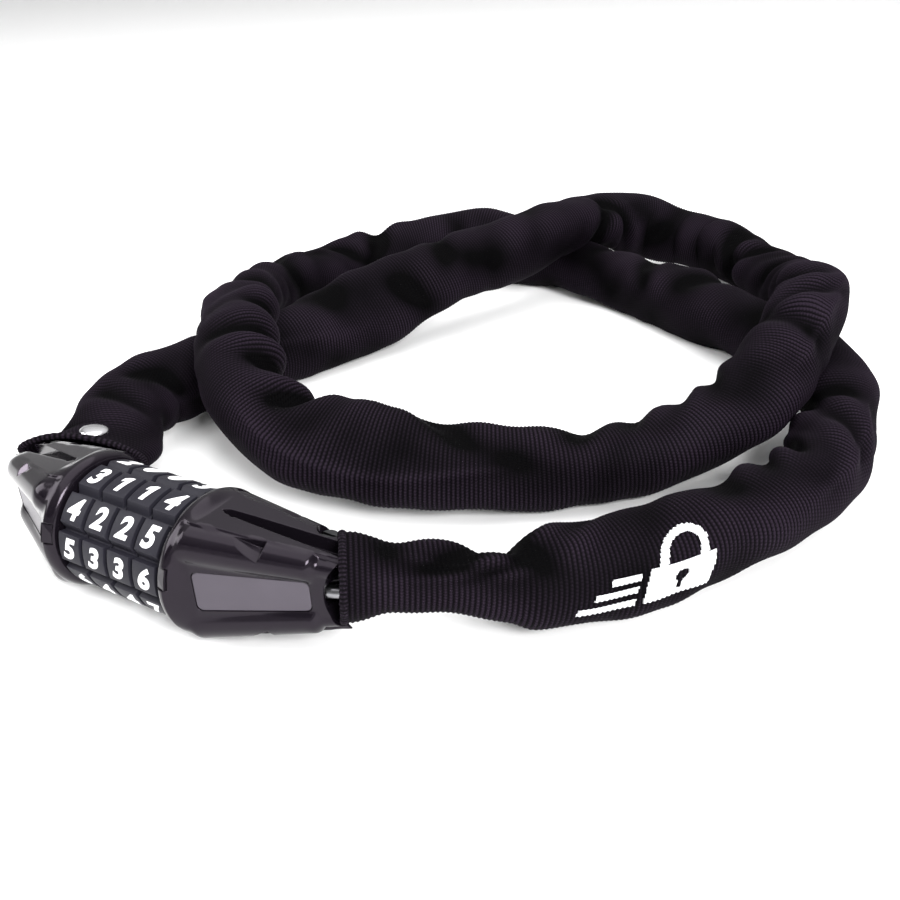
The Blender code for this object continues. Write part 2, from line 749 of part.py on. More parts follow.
clear_scene()
MATERIALS = make_materials()
make_cap("left", -1, ((15.0, 9.4), (17.3, 9.4), (17.3, 6.3), (28.0, 6.3)), 24.6, 0.1)
make_cap("right", 1, ((15.0, 9.6), (18.2, 9.6), (18.2, 6.4), (22.0, 6.4), (22.0, 3.9), (30.6, 3.9)), 26.0, 0.3)
for dial_number, dial_x in enumerate(DIAL_CENTRES, 1):
    make_dial(dial_number, dial_x)
make_core()
make_bolt()
make_washer("thrust_washer_left", -16.9, -15.8, 6.35, 9.0, 0.0001)
make_washer("thrust_washer_right", 15.8, 16.6, 6.35, 9.0, 7.75)
make_washer("retaining_ring", 16.9, 17.7, 5.6, 7.6, 9.0)
make_click_spring()
make_eject_spring()
mouth, chain_path = make_chain()
make_rivet(mouth, chain_path)
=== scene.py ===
"""Looks of the chain lock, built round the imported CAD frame."""

from math import asin, atan, cos, hypot, pi, radians, sin, sqrt

import bmesh
import bpy
import numpy as np
from mathutils import Matrix, Vector


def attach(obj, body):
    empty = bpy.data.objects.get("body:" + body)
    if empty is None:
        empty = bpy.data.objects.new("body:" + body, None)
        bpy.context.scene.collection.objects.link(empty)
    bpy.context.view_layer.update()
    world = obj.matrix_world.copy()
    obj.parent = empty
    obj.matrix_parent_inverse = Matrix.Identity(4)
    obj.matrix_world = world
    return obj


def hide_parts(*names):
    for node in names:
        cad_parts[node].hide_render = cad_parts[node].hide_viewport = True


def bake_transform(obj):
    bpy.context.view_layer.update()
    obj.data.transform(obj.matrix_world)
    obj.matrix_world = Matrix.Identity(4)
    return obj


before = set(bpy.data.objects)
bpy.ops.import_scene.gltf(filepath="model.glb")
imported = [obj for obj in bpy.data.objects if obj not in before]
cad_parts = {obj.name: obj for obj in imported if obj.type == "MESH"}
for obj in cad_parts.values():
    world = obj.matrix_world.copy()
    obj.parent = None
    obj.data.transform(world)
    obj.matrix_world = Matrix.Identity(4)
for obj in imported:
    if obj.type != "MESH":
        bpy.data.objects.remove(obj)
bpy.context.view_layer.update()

MM = 0.001
AXIS_Z = 16.5

# ---------------- camera and studio

CAMERA_AT = (162.7, -124.2, 140.9)
CAMERA_FORWARD = (-0.4812, 0.7339, -0.4795)
CAMERA_ROLL = -3.0
CAMERA_LENS, CAMERA_SENSOR = 40.0, 36.0

# Each lamp's name, its place and aim in metres, its size and its watts
LAMPS = (
    ("overhead", (0.1, 0.1, 1.3), (0, 0.12, 0), (1.6, 1.6), 17.0),
    ("key", (0.75, -0.35, 0.55), (0, 0.12, 0), (0.35, 0.35), 15.0),
    ("left", (-0.75, -0.45, 0.6), (0, 0.1, 0), (0.6, 0.6), 8.0),
)
# The direction of each glow in the sky, the shares of it where the glow starts and is full, and its strength
GLOWS = (((0, 0, 1), 0.35, 1.0, 0.85), ((-0.35, 0.9, 0.3), 0.3, 1.0, 0.9))
GLOW_LEAST = 0.02
# Radius and height in metres of the studio floor, which turns up at its rim
FLOOR_PROFILE = ((1.0, 0.0), (2.7, 0.0), (3.1, 0.06), (3.35, 0.25), (3.5, 0.6), (3.6, 1.3))
FLOOR_SIDES = 64
FLOOR_DROP = 0.0001


def add_object(name, data):
    obj = bpy.data.objects.new(name, data)
    bpy.context.scene.collection.objects.link(obj)
    return obj


def turns(sides, shift=0):
    """The angles of points evenly spaced round a loop."""
    return [2 * pi * (i + shift) / sides for i in range(sides)]


def make_camera():
    data = bpy.data.cameras.new("camera")
    data.lens, data.sensor_width = CAMERA_LENS, CAMERA_SENSOR
    data.clip_start, data.clip_end = 0.005, 20.0
    camera = add_object("camera", data)
    forward = Vector(CAMERA_FORWARD).normalized()
    right = forward.cross(Vector((0, 0, 1))).normalized()
    up = right.cross(forward)
    roll = radians(CAMERA_ROLL)
    right, up = right * cos(roll) + up * sin(roll), up * cos(roll) - right * sin(roll)
    turn = Matrix((right, up, -forward)).transposed()
    camera.matrix_world = Matrix.Translation(Vector(CAMERA_AT) * MM) @ turn.to_4x4()
    bpy.context.scene.camera = camera


def area_light(name, at, look, size, power):
    data = bpy.data.lights.new(name, "AREA")
    data.shape = "RECTANGLE"
    data.size, data.size_y = size
    data.energy = power
    lamp = add_object(name, data)
    lamp.location = at
    lamp.rotation_euler = (Vector(look) - Vector(at)).to_track_quat("-Z", "Y").to_euler()


def circle_sweep(profile, sides):
    """A dish swept round z from (radius, height) pairs, closed in the middle."""
    points = [(r * cos(t), r * sin(t), h) for r, h in profile for t in turns(sides)]
    faces = [tuple(range(sides))]
    for k in range(len(profile) - 1):
        for i in range(sides):
            j, row = (i + 1) % sides, k * sides
            faces.append((row + i, row + sides + i, row + sides + j, row + j))
    return points, faces


def make_sky():
    world = bpy.data.worlds.new("studio")
    bpy.context.scene.world = world
    world.use_nodes = True
    nodes, links = world.node_tree.nodes, world.node_tree.links
    direction = nodes.new("ShaderNodeTexCoord")
    strength = None
    for axis, start, end, brightest in GLOWS:
        towards = nodes.new("ShaderNodeVectorMath")
        towards.operation = "DOT_PRODUCT"
        towards.inputs[1].default_value = axis
        links.new(direction.outputs["Generated"], towards.inputs[0])
        glow = nodes.new("ShaderNodeMapRange")
        glow.interpolation_type = "SMOOTHSTEP"
        glow.inputs["From Min"].default_value = start
        glow.inputs["From Max"].default_value = end
        glow.inputs["To Min"].default_value = GLOW_LEAST
        glow.inputs["To Max"].default_value = brightest
        links.new(towards.outputs["Value"], glow.inputs["Value"])
        if strength is None:
            strength = glow.outputs["Result"]
        else:
            total = nodes.new("ShaderNodeMath")
            total.operation = "ADD"
            links.new(strength, total.inputs[0])
            links.new(glow.outputs["Result"], total.inputs[1])
            strength = total.outputs[0]
    background = nodes["Background"]
    background.inputs["Color"].default_value = (1, 1, 1, 1)
    links.new(strength, background.inputs["Strength"])
    bpy.context.scene.view_settings.view_transform = "Standard"


def make_floor():
    mesh = bpy.data.meshes.new("floor")
    points, faces = circle_sweep(FLOOR_PROFILE, FLOOR_SIDES)
    mesh.from_pydata(points, [], faces)
    mesh.polygons.foreach_set("use_smooth", [True] * len(mesh.polygons))
    floor = add_object("floor", mesh)
    floor.location.z = -FLOOR_DROP
    material = bpy.data.materials.new("floor")
    material.use_nodes = True
    shader = material.node_tree.nodes["Principled BSDF"]
    shader.inputs["Base Color"].default_value = (0.93, 0.93, 0.93, 1)
    shader.inputs["Roughness"].default_value = 0.6
    shader.inputs["Specular IOR Level"].default_value = 0.2
    mesh.materials.append(material)


# ---------------- materials


class Nodes:
    """Small helper that adds and links shader nodes."""

    def __init__(self, name):
        self.material = bpy.data.materials.new(name)
        self.material.use_nodes = True
        self.tree = self.material.node_tree
        self.shader = self.tree.nodes["Principled BSDF"]

    def add(self, kind, **settings):
        node = self.tree.nodes.new(kind)
        for key, value in settings.items():
            setattr(node, key, value)
        return node

    def link(self, source, target):
        self.tree.links.new(source, target)

    def value(self, socket, value):
        self.shader.inputs[socket].default_value = value

    def feed(self, item, socket):
        """Sets a socket to a number or a colour, or links an output to it."""
        if isinstance(item, (int, float)):
            socket.default_value = item
        elif isinstance(item, tuple):
            socket.default_value = (*item, 1)
        else:
            self.link(item, socket)

    def math(self, operation, *items):
        node = self.add("ShaderNodeMath", operation=operation)
        for index, item in enumerate(items):
            self.feed(item, node.inputs[index])
        return node.outputs[0]

    def attribute(self, name):
        return self.add("ShaderNodeAttribute", attribute_name=name, attribute_type="GEOMETRY").outputs["Fac"]

    def noise(self, scale, detail=3.0, roughness=0.5):
        coordinates = self.add("ShaderNodeTexCoord").outputs["Object"]
        node = self.add("ShaderNodeTexNoise")
        node.inputs["Scale"].default_value = scale
        node.inputs["Detail"].default_value = detail
        node.inputs["Roughness"].default_value = roughness
        self.link(coordinates, node.inputs["Vector"])
        return node.outputs["Fac"]

    def ramp(self, fac, low, high):
        node = self.add("ShaderNodeMapRange")
        self.link(fac, node.inputs["Value"])
        node.inputs["To Min"].default_value = low
        node.inputs["To Max"].default_value = high
        return node.outputs["Result"]

    def mix(self, fac, a, b):
        node = self.add("ShaderNodeMix", data_type="RGBA")
        self.feed(fac, node.inputs["Factor"])
        for name, item in (("A", a), ("B", b)):
            socket = [s for s in node.inputs if s.name == name and s.type == "RGBA"][0]
            self.feed(item, socket)
        return [s for s in node.outputs if s.type == "RGBA"][0]

    def bump(self, height, strength, distance, normal=None):
        node = self.add("ShaderNodeBump")
        node.inputs["Strength"].default_value = strength
        node.inputs["Distance"].default_value = distance
        self.link(height, node.inputs["Height"])
        if normal is not None:
            self.link(normal, node.inputs["Normal"])
        self.link(node.outputs["Normal"], self.shader.inputs["Normal"])
        return node.outputs["Normal"]

    def round_edges(self, radius):
        node = self.add("ShaderNodeBevel", samples=6)
        node.inputs["Radius"].default_value = radius
        return node.outputs["Normal"]


RIB = 1.1                 # from one rib of the weave to the next
BEAD = 0.9                # from one bead of a rib to the next


def fabric_material(name, low, high, sheen=0.03, painted_crest_light=False):
    """Plain weave: ribs across the tube, each broken into beads that shift by half from rib to rib."""
    n = Nodes(name)
    along, round_it = n.attribute("cloth_along"), n.attribute("cloth_round")
    rib = n.math("MULTIPLY_ADD", n.math("COSINE", n.math("MULTIPLY", along, 2 * pi / RIB)), 0.5, 0.5)
    row = n.math("FLOOR", n.math("ADD", n.math("DIVIDE", along, RIB), 0.5))
    bead_phase = n.math("MULTIPLY_ADD", row, pi, n.math("MULTIPLY", round_it, 2 * pi / BEAD))
    bead = n.math("MULTIPLY_ADD", n.math("COSINE", bead_phase), 0.5, 0.5)
    fuzz = n.noise(1300.0, 4.0, 0.7)
    broad = n.noise(45.0, 3.0, 0.5)
    weave = n.math("MULTIPLY", n.math("MULTIPLY_ADD", rib, 0.9, 0.1), n.math("MULTIPLY_ADD", bead, 0.4, 0.6))
    height = n.math("ADD", weave, n.math("MULTIPLY", fuzz, 0.25))
    # The colour follows the weave's height: painted shade darkens the grooves between ribs and beads.
    tone = n.math("MULTIPLY", n.math("POWER", n.math("MINIMUM", height, 1.0), 1.6), n.ramp(broad, 0.6, 1.3))
    # Painted light: the crest share read here makes ridges and bend outsides paler as painted highlight, and
    # folds darker as painted shade.
    if painted_crest_light:
        tone = n.math("MULTIPLY", tone, n.ramp(n.attribute("cloth_painted_light"), -0.1, 2.1))
    n.link(n.mix(tone, low, high), n.shader.inputs["Base Color"])
    n.link(n.ramp(fuzz, 0.6, 0.85), n.shader.inputs["Roughness"])
    n.value("Specular IOR Level", 0.03)
    n.value("Sheen Weight", sheen)
    n.value("Sheen Roughness", 0.3)
    n.value("Sheen Tint", (0.80, 0.70, 0.88, 1))
    n.bump(height, 0.9, 0.0003)
    return n.material


def gloss_material():
    n = Nodes("gloss_black")
    smears = n.noise(60.0, 5.0, 0.6)
    fine = n.noise(900.0, 2.0, 0.5)
    colour = n.mix(n.ramp(smears, 0.2, 0.8), (0.0035, 0.0027, 0.0040), (0.0065, 0.005, 0.0075))
    n.link(colour, n.shader.inputs["Base Color"])
    n.link(n.ramp(smears, 0.11, 0.2), n.shader.inputs["Roughness"])
    n.value("Specular IOR Level", 0.21)
    n.value("Specular Tint", (0.96, 0.84, 1.0, 1))
    n.bump(fine, 0.06, 0.00005, n.round_edges(0.00035))
    return n.material


def satin_material(name, low, high, roughness, grain=1600.0, metallic=0.0, strength=0.12, shine=0.5):
    n = Nodes(name)
    grain_noise = n.noise(grain, 3.0, 0.6)
    blotch = n.noise(90.0, 3.0, 0.5)
    colour = n.mix(n.ramp(blotch, 0.0, 1.0), low, high)
    n.link(colour, n.shader.inputs["Base Color"])
    n.link(n.ramp(grain_noise, roughness - 0.08, roughness + 0.1), n.shader.inputs["Roughness"])
    n.value("Metallic", metallic)
    n.value("Specular IOR Level", shine)
    n.bump(grain_noise, strength, 0.00006, n.round_edges(0.00022))
    return n.material


def metal_material(name, low, high, roughness):
    return satin_material(name, low, high, roughness, 1800.0, 1.0, 0.1)


def make_materials():
    dark, pale = (0.0003, 0.0002, 0.0004), (0.0145, 0.0100, 0.0165)
    return {
        # This cloth carries painted highlight on its ridges and painted shade in its folds.
        "fabric": fabric_material("woven_sleeve", dark, pale, 0.006, painted_crest_light=True),
        "hem": fabric_material("hem_tape", (0.001, 0.0008, 0.0012), (0.017, 0.0125, 0.019), 0.01),
        "print": fabric_material("white_print", (0.45, 0.45, 0.47), (0.93, 0.93, 0.94)),
        "gloss": gloss_material(),
        "dial": satin_material(
            "dial_plastic", (0.010, 0.0095, 0.014), (0.016, 0.015, 0.0215), 0.5, shine=0.15
        ),
        "white": satin_material(
            "numeral_paint", (0.85, 0.85, 0.87), (0.95, 0.95, 0.96), 0.5, strength=0.05, shine=0.2
        ),
        "plate": satin_material(
            "satin_plate", (0.042, 0.035, 0.047), (0.062, 0.052, 0.068), 0.34, 2200.0, 0.3, 0.08
        ),
        "steel": metal_material("bright_steel", (0.52, 0.52, 0.54), (0.66, 0.65, 0.66), 0.2),
        "brass": metal_material("turned_brass", (0.50, 0.36, 0.14), (0.62, 0.47, 0.2), 0.28),
        "dark_steel": metal_material("dark_steel", (0.03, 0.03, 0.032), (0.06, 0.06, 0.064), 0.34),
        # The end links are painted much darker than bright steel: painted shade for their place deep in the
        # caps' shaded ends.
        "link": metal_material("plated_link", (0.16, 0.16, 0.17), (0.26, 0.26, 0.27), 0.3),
    }


# ---------------- mesh helpers


def mesh_object(name, points, faces, material, smooth=None):
    """A mesh from millimetre points with outward normals. smooth is the sharpest angle still shaded round."""
    mesh = bpy.data.meshes.new(name)
    mesh.from_pydata((np.asarray(points, float) * MM).tolist(), [], faces)
    shape = bmesh.new()
    shape.from_mesh(mesh)
    bmesh.ops.recalc_face_normals(shape, faces=shape.faces[:])
    shape.to_mesh(mesh)
    shape.free()
    if material:
        mesh.materials.append(MATERIALS[material])
    obj = add_object(name, mesh)
    if smooth:
        round_shading(obj, smooth)
    return obj


def round_shading(obj, degrees):
    mesh = obj.data
    mesh.polygons.foreach_set("use_smooth", [True] * len(mesh.polygons))
    mesh.set_sharp_from_angle(angle=radians(degrees))


def loft(sections, ring=False):
    """Points and faces of a skin over loops with the same number of points."""
    size = len(sections[0])
    points = [p for section in sections for p in section]
    faces = []
    last = len(sections) if ring else len(sections) - 1
    for k in range(last):
        low, high = k * size, (k + 1) % len(sections) * size
        for i in range(size):
            j = (i + 1) % size
            faces.append((low + i, low + j, high + j, high + i))
    if not ring:
        faces.append(tuple(range(size))[::-1])
        faces.append(tuple(range(len(points) - size, len(points))))
    return points, faces


def grid_faces(rows, columns, closed_rows=False):
    """Quads of a grid whose columns wrap round; closed_rows joins the last row to the first."""
    row = np.arange(rows if closed_rows else rows - 1)[:, None]
    column = np.arange(columns)[None, :]
    after = (row + 1) % rows
    beside = (column + 1) % columns
    corners = [(row, column), (row, beside), (after, beside), (after, column)]
    return np.stack([r * columns + c for r, c in corners], -1).reshape(-1, 4)


def fast_mesh(name, points, quads, material, attributes=()):
    """A smooth mesh straight from arrays, for the fine cloth."""
    mesh = bpy.data.meshes.new(name)
    mesh.vertices.add(len(points))
    mesh.vertices.foreach_set("co", (np.asarray(points) * MM).astype(np.float32).ravel())
    mesh.loops.add(quads.size)
    mesh.loops.foreach_set("vertex_index", quads.astype(np.int32).ravel())
    mesh.polygons.add(len(quads))
    mesh.polygons.foreach_set("loop_start", np.arange(0, quads.size, 4, dtype=np.int32))
    mesh.polygons.foreach_set("use_smooth", np.ones(len(quads), bool))
    mesh.update(calc_edges=True)
    mesh.validate()
    for key, values in attributes:
        attribute = mesh.attributes.new(key, "FLOAT", "POINT")
        attribute.data.foreach_set("value", values.astype(np.float32).ravel())
    mesh.materials.append(MATERIALS[material])
    return add_object(name, mesh)


def circle(radius, x, sides, shift=0.0):
    turn = 2 * pi / sides
    angles = [(i + shift) * turn for i in range(sides)]
    return [(x, radius * cos(t), AXIS_Z + radius * sin(t)) for t in angles]


def dial_point(x, reach, angle):
    """A point this far out from the dial axis, at an angle up from straight ahead."""
    return x, -reach * cos(angle), AXIS_Z + reach * sin(angle)


def prism(name, outline, low, high, material=None):
    """Extrudes an (x, y) outline upwards; low and high are heights from the dial axis or functions of x."""
    bottom = [(x, y, AXIS_Z + (low(x) if callable(low) else low)) for x, y in outline]
    top = [(x, y, AXIS_Z + (high(x) if callable(high) else high)) for x, y in outline]
    return mesh_object(name, *loft([bottom, top]), material)


def box(name, x, y, z, material=None):
    return prism(name, [(x[0], y[0]), (x[1], y[0]), (x[1], y[1]), (x[0], y[1])], z[0], z[1], material)


def post(name, x, y, radius, low, high, material=None, sides=40):
    turn = 2 * pi / sides
    outline = [(x + radius * cos(i * turn), y + radius * sin(i * turn)) for i in range(sides)]
    return prism(name, outline, low, high, material)


def baked(obj):
    """A new mesh of the object with its modifiers applied."""
    graph = bpy.context.evaluated_depsgraph_get()
    return bpy.data.meshes.new_from_object(obj.evaluated_get(graph))


def apply_modifiers(obj):
    mesh = baked(obj)
    obj.modifiers.clear()
    obj.data = mesh


def cut(obj, tools):
    """Cuts the tools from obj, then removes them."""
    for tool in tools:
        modifier = obj.modifiers.new(tool.name, "BOOLEAN")
        modifier.object = tool
        modifier.solver = "EXACT"
    apply_modifiers(obj)
    for tool in tools:
        bpy.data.objects.remove(tool, do_unlink=True)


# ---------------- caps

CAP_BACK = 10.5
FRONT_START, FRONT_SLOPE = -11.5, 0.4408
SHOULDER, CAP_END = 21.5, 52.5
CAP_POINTS = 180
END_CUT_X, END_CUT_RADIUS = 60.3, 12.2
PANEL_DEPTH = 1.1
LINK_PIN_X, LINK_PIN_Y = 45.0, 4.65
COLLAR_RADIUS = 16.5
INDEX_ANGLE = 7.7         # of the row of digits that gives the code
TAB_ANGLE = 16.5
TAB_X, TAB_HALF = (16.8, 19.4), 2.4
SLOT_X, SLOT_HALF = (45.5, 60.0), 2.5
MOUTH_X, MOUTH_HALF = (39.9, 60.0), 1.9
EYE_RADIUS, PIN_HOLE, CROSS_HOLE = 4.85, 1.3, 1.1
SCREW_X, SCREW_Y = 43.9, 8.6
THROUGH = 20              # far enough to pass right through a cap


def along(x, start, end):
    return start + (end - start) * (x - SHOULDER) / (CAP_END - SHOULDER)


def smooth_step(value, low, high):
    t = min(max((value - low) / (high - low), 0.0), 1.0)
    return t * t * (3 - 2 * t)


def cap_front(x):
    return FRONT_START + FRONT_SLOPE * (x - SHOULDER)


def cap_middle(x):
    return (cap_front(x) + CAP_BACK) / 2


def cap_half_height(x):
    return along(x, 14.9, 8.7)


def in_rectangle(angle, low, high, half):
    y, z = cos(angle), sin(angle)
    reach = [half / abs(z)] if abs(z) > 1e-6 else []
    if y > 1e-6:
        reach.append(high / y)
    if y < -1e-6:
        reach.append(low / y)
    return min(reach)


def in_circle(angle, y, z, radius):
    ahead = y * cos(angle) + z * sin(angle)
    off_squared = y * y + z * z - ahead * ahead
    if ahead <= 0 or off_squared > radius * radius:
        return 0.0
    return ahead + sqrt(radius * radius - off_squared)


def boxy_section(x, side):
    middle = cap_middle(x)
    half_width = CAP_BACK - middle
    inset = along(x, 4.0, 1.5)
    swell = smooth_step(x, 18.6, 21.5)
    barrel = along(x, 4.7, 3.2) * (0.86 + 0.14 * swell) - 1.3 * smooth_step(x, 45.7, 47.3)
    height = along(x, 9.6, 5.6)
    points = []
    for angle in turns(CAP_POINTS, 0.5):
        barrels = [
            in_circle(angle, y * (half_width - inset), z * height, barrel) for y in (-1, 1) for z in (-1, 1)
        ]
        reach = max(
            in_rectangle(angle, -half_width, half_width, height),
            in_rectangle(angle, inset - half_width, half_width - inset, cap_half_height(x)),
            *barrels,
        )
        points.append((side * x, middle + reach * cos(angle), AXIS_Z + reach * sin(angle)))
    return points


def cap_body(name, side):
    rim = (
        (16.3, 14.3), (16.32, 14.9), (16.5, 15.35), (16.9, 15.8), (17.5, 16.2), (18.2, 16.45),
        (18.8, COLLAR_RADIUS),
    )
    sections = [circle(r, side * x, CAP_POINTS, 0.5) for x, r in rim]
    for x in (19.2, 19.6, 20.0, 20.4, 20.8, 21.2, 21.6, 22.0):
        share = smooth_step(x, 18.6, 22.2)
        collar = circle(COLLAR_RADIUS - 0.1 * (x - 18.8), side * x, CAP_POINTS, 0.5)
        pairs = zip(collar, boxy_section(x, side))
        sections.append([tuple(a[k] * (1 - share) + b[k] * share for k in range(3)) for a, b in pairs])
    stations = [22.4 + 1.3 * k for k in range(18)] + [45.7, 46.1, 46.5, 46.9, 47.3, 48.5, 50.0, 51.3, 52.5]
    sections += [boxy_section(x, side) for x in stations]
    return mesh_object(name, *loft(sections), "gloss")


def end_cut(side):
    """A round bar across the cap's end, which leaves the hollow there."""
    loops = []
    for y in (-20.0, 20.0):
        loop = []
        for angle in turns(96, 0.5):
            x = side * (END_CUT_X + END_CUT_RADIUS * cos(angle))
            loop.append((x, y, AXIS_Z + END_CUT_RADIUS * sin(angle)))
        loops.append(loop)
    return mesh_object("tool", *loft(loops), None)


def groove_cut(side, up):
    """The long groove along a cap's top or bottom, wider towards the chain end."""
    steps = ((24.5, 0.9), (30.0, 1.3), (38.0, 1.7), (46.0, 2.1), (54.0, 2.4))
    outline = [(23.2, cap_middle(23.2))]
    outline += [(x, cap_middle(x) - half) for x, half in steps]
    outline += [(x, cap_middle(x) + half) for x, half in steps[::-1]]
    outline = [(side * x, y) for x, y in outline]

    def near(x):
        return up * (cap_half_height(abs(x)) - 3.4)

    def far(x):
        return up * (cap_half_height(abs(x)) + 4.0)

    return prism("tool", outline, near if up > 0 else far, far if up > 0 else near)


def panel_solid(name, side, front, inset, deep, shallow, material=None):
    if front:
        angle = atan(FRONT_SLOPE)
        start, direction = (SHOULDER, FRONT_START), (cos(angle), sin(angle))
        normal = (direction[1], -direction[0])
    else:
        start, direction, normal = (SHOULDER, CAP_BACK), (1.0, 0.0), (0.0, 1.0)
    near, far = 0.9 + inset, (26.4 if front else 17.2) - inset
    end_height = 3.8 if front else 4.2
    corner = 1.4
    corners = (
        (near + corner, 5.0 - inset - corner, 90),
        (far - corner, end_height - inset - corner, 0),
        (far - corner, -(end_height - inset - corner), -90),
        (near + corner, -(5.0 - inset - corner), -180),
    )
    loops = []
    for depth in (deep, shallow):
        loop = []
        for run, height, first in corners:
            for step in (90, 72, 54, 36, 18, 0):
                turn = radians(first + step)
                reach = run + corner * cos(turn)
                x, y = (start[k] + direction[k] * reach - normal[k] * depth for k in range(2))
                loop.append((side * x, y, AXIS_Z + height + corner * sin(turn)))
        loops.append(loop)
    return mesh_object(name, *loft(loops), material)


def triangle_cut(side, back, up, size):
    """A three-sided pyramid sunk into a corner of the cap, deepest near its chain end."""
    diagonal = (back * sqrt(0.5), up * sqrt(0.5))
    across = (-diagonal[0], diagonal[1])

    def place(x, offset, lift):
        half_width = CAP_BACK - cap_middle(x)
        inset = along(x, 4.0, 1.5)
        reach = along(x, 4.7, 3.2) + lift
        return (
            side * x,
            cap_middle(x) + back * (half_width - inset) + diagonal[0] * reach + across[0] * offset,
            AXIS_Z + up * along(x, 9.6, 5.6) + diagonal[1] * reach + across[1] * offset,
        )

    corners = ((27.6, 2.9), (37.0, 3.9), (36.4, -2.9))
    middle = (33.7, 1.3)
    points = [place(35.4, 1.6, -3.0 if size > 1.3 else -2.2)]
    for spread, lift in ((1, 1.5), (1.03, 5.0)):
        for corner in corners:
            x, offset = (m + (c - m) * size * spread for m, c in zip(middle, corner))
            points.append(place(x, offset, lift))
    faces = [(0, 2, 1), (0, 3, 2), (0, 1, 3), (1, 2, 5, 4), (2, 3, 6, 5), (3, 1, 4, 6), (4, 5, 6)]
    return mesh_object("tool", points, faces, None)


def tab_solid(name, side, gap, low, high, material=None):
    """The flush marker tab beside the dials; gap makes it larger all round."""
    angle = radians(TAB_ANGLE)
    near_x, far_x = TAB_X[0] - gap, TAB_X[1] + gap
    corners = ((near_x, -1), (far_x, -1), (far_x, 0), (far_x, 1), (near_x, 1), (near_x, 0))
    loops = []
    for near, far in (low, high):
        loop = []
        for x, turn in corners:
            at = angle + turn * (TAB_HALF + gap) / COLLAR_RADIUS
            reach = near if x < 18 else far
            loop.append(dial_point(side * x, reach, at))
        loops.append(loop)
    return mesh_object(name, *loft(loops), material)


def swell_left(obj):
    """The left cap's front half stands a little prouder and longer than the right one's."""
    for vertex in obj.data.vertices:
        x, y = -vertex.co.x / MM, vertex.co.y / MM
        ahead = min(max((cap_middle(x) - y) / max(CAP_BACK - cap_middle(x), 1.0), 0.0), 1.0) ** 0.7
        share = smooth_step(x, 19.5, 22.5) * ahead
        vertex.co.x -= 1.7 * share * (1 - smooth_step(x, 44, 52)) * MM
        vertex.co.y -= 0.8 * share * MM
        drop = 1 - 0.16 * smooth_step(x, 43, 53)
        vertex.co.z = (AXIS_Z + (vertex.co.z / MM - AXIS_Z) * drop) * MM


def finish_cap_piece(obj, side, body, node, smooth=None):
    if side < 0:
        swell_left(obj)
    if smooth:
        round_shading(obj, smooth)
    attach(obj, body)
    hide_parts(node)


def make_cap(word, side, bore, pin_x, pin_y, body):
    cap = cap_body(word + "_cap_shell", side)
    tools = [end_cut(side), groove_cut(side, 1), groove_cut(side, -1)]
    for front in (True, False):
        tools.append(panel_solid("tool", side, front, 0.0, PANEL_DEPTH, -3.0))
    for back in (-1, 1):
        for up in (-1, 1):
            tools.append(triangle_cut(side, back, up, 1.45 if side > 0 > back else 1.15))
    tools.append(mesh_object("tool", *loft([circle(r, side * x, 64) for x, r in bore]), None))
    tools.append(tab_solid("tool", side, 0.16, (15.1, 15.6), (20.0, 20.0)))
    slot_x, mouth_x = [sorted(side * x for x in pair) for pair in (SLOT_X, MOUTH_X)]
    pin = (side * LINK_PIN_X, LINK_PIN_Y)
    tools.append(box("tool", slot_x, (0.9, THROUGH), (-SLOT_HALF, SLOT_HALF)))
    tools.append(post("tool", *pin, EYE_RADIUS, -MOUTH_HALF, MOUTH_HALF))
    tools.append(box("tool", mouth_x, (LINK_PIN_Y, THROUGH), (-MOUTH_HALF, MOUTH_HALF)))
    tools.append(post("tool", *pin, PIN_HOLE, -THROUGH, THROUGH))
    tools.append(post("tool", side * pin_x, pin_y, CROSS_HOLE, -THROUGH, THROUGH))
    tools.append(post("tool", side * SCREW_X, SCREW_Y + 1, 2.8, 7.5, 20.0))
    tools.append(post("tool", side * SCREW_X, SCREW_Y, 1.2, 3.2, 9.0))
    cut(cap, tools)
    finish_cap_piece(cap, side, body, word + "_cap", 28)
    tab = tab_solid(word + "_tab", side, 0.0, (14.9, 14.9), (15.65, 16.5), "gloss")
    finish_cap_piece(tab, side, body, word + "_index_mark")
    for front, where in ((True, "front"), (False, "back")):
        plate = panel_solid(f"{word}_{where}_inlay", side, front, 0.16, PANEL_DEPTH, 0.12, "plate")
        finish_cap_piece(plate, side, body, f"{word}_{where}_plate", 30)


# ---------------- dials

DIAL_CENTRES = (-11.8, -3.93, 3.93, 11.8)
TILE_RADIUS, VALLEY_RADIUS, RING_RADIUS, RING_BORE = 15.0, 13.2, 12.9, 9.3
RING_WIDTH, TILE_WIDTH = 7.4, 6.6
TILE_HALF_ANGLE = 13.5
INDEX_DIGITS = (5, 3, 3, 6)
DIGIT_SIZE = 6.9
DIGIT_SHEAR = 0.22
ONE_OUTLINE = ((-0.3, -2.4), (0.95, -2.4), (0.95, 2.4), (0.1, 2.4), (-1.3, 1.6), (-1.3, 0.5), (-0.3, 1.0))


def dial_angles():
    """Angle and radius of the tiled outline: flat-topped tiles with a ramp below each and a step above."""
    outline = []
    for k in range(10):
        middle = INDEX_ANGLE + 36 * k
        for step in range(9):
            outline.append((middle - TILE_HALF_ANGLE + step * TILE_HALF_ANGLE / 4, TILE_RADIUS))
        outline.append((middle + TILE_HALF_ANGLE + 1.0, VALLEY_RADIUS))
        outline.append((middle + TILE_HALF_ANGLE + 2.6, VALLEY_RADIUS))
    return outline


def dial_section(x, limit=None):
    return [dial_point(x, limit or radius, radians(degrees)) for degrees, radius in dial_angles()]


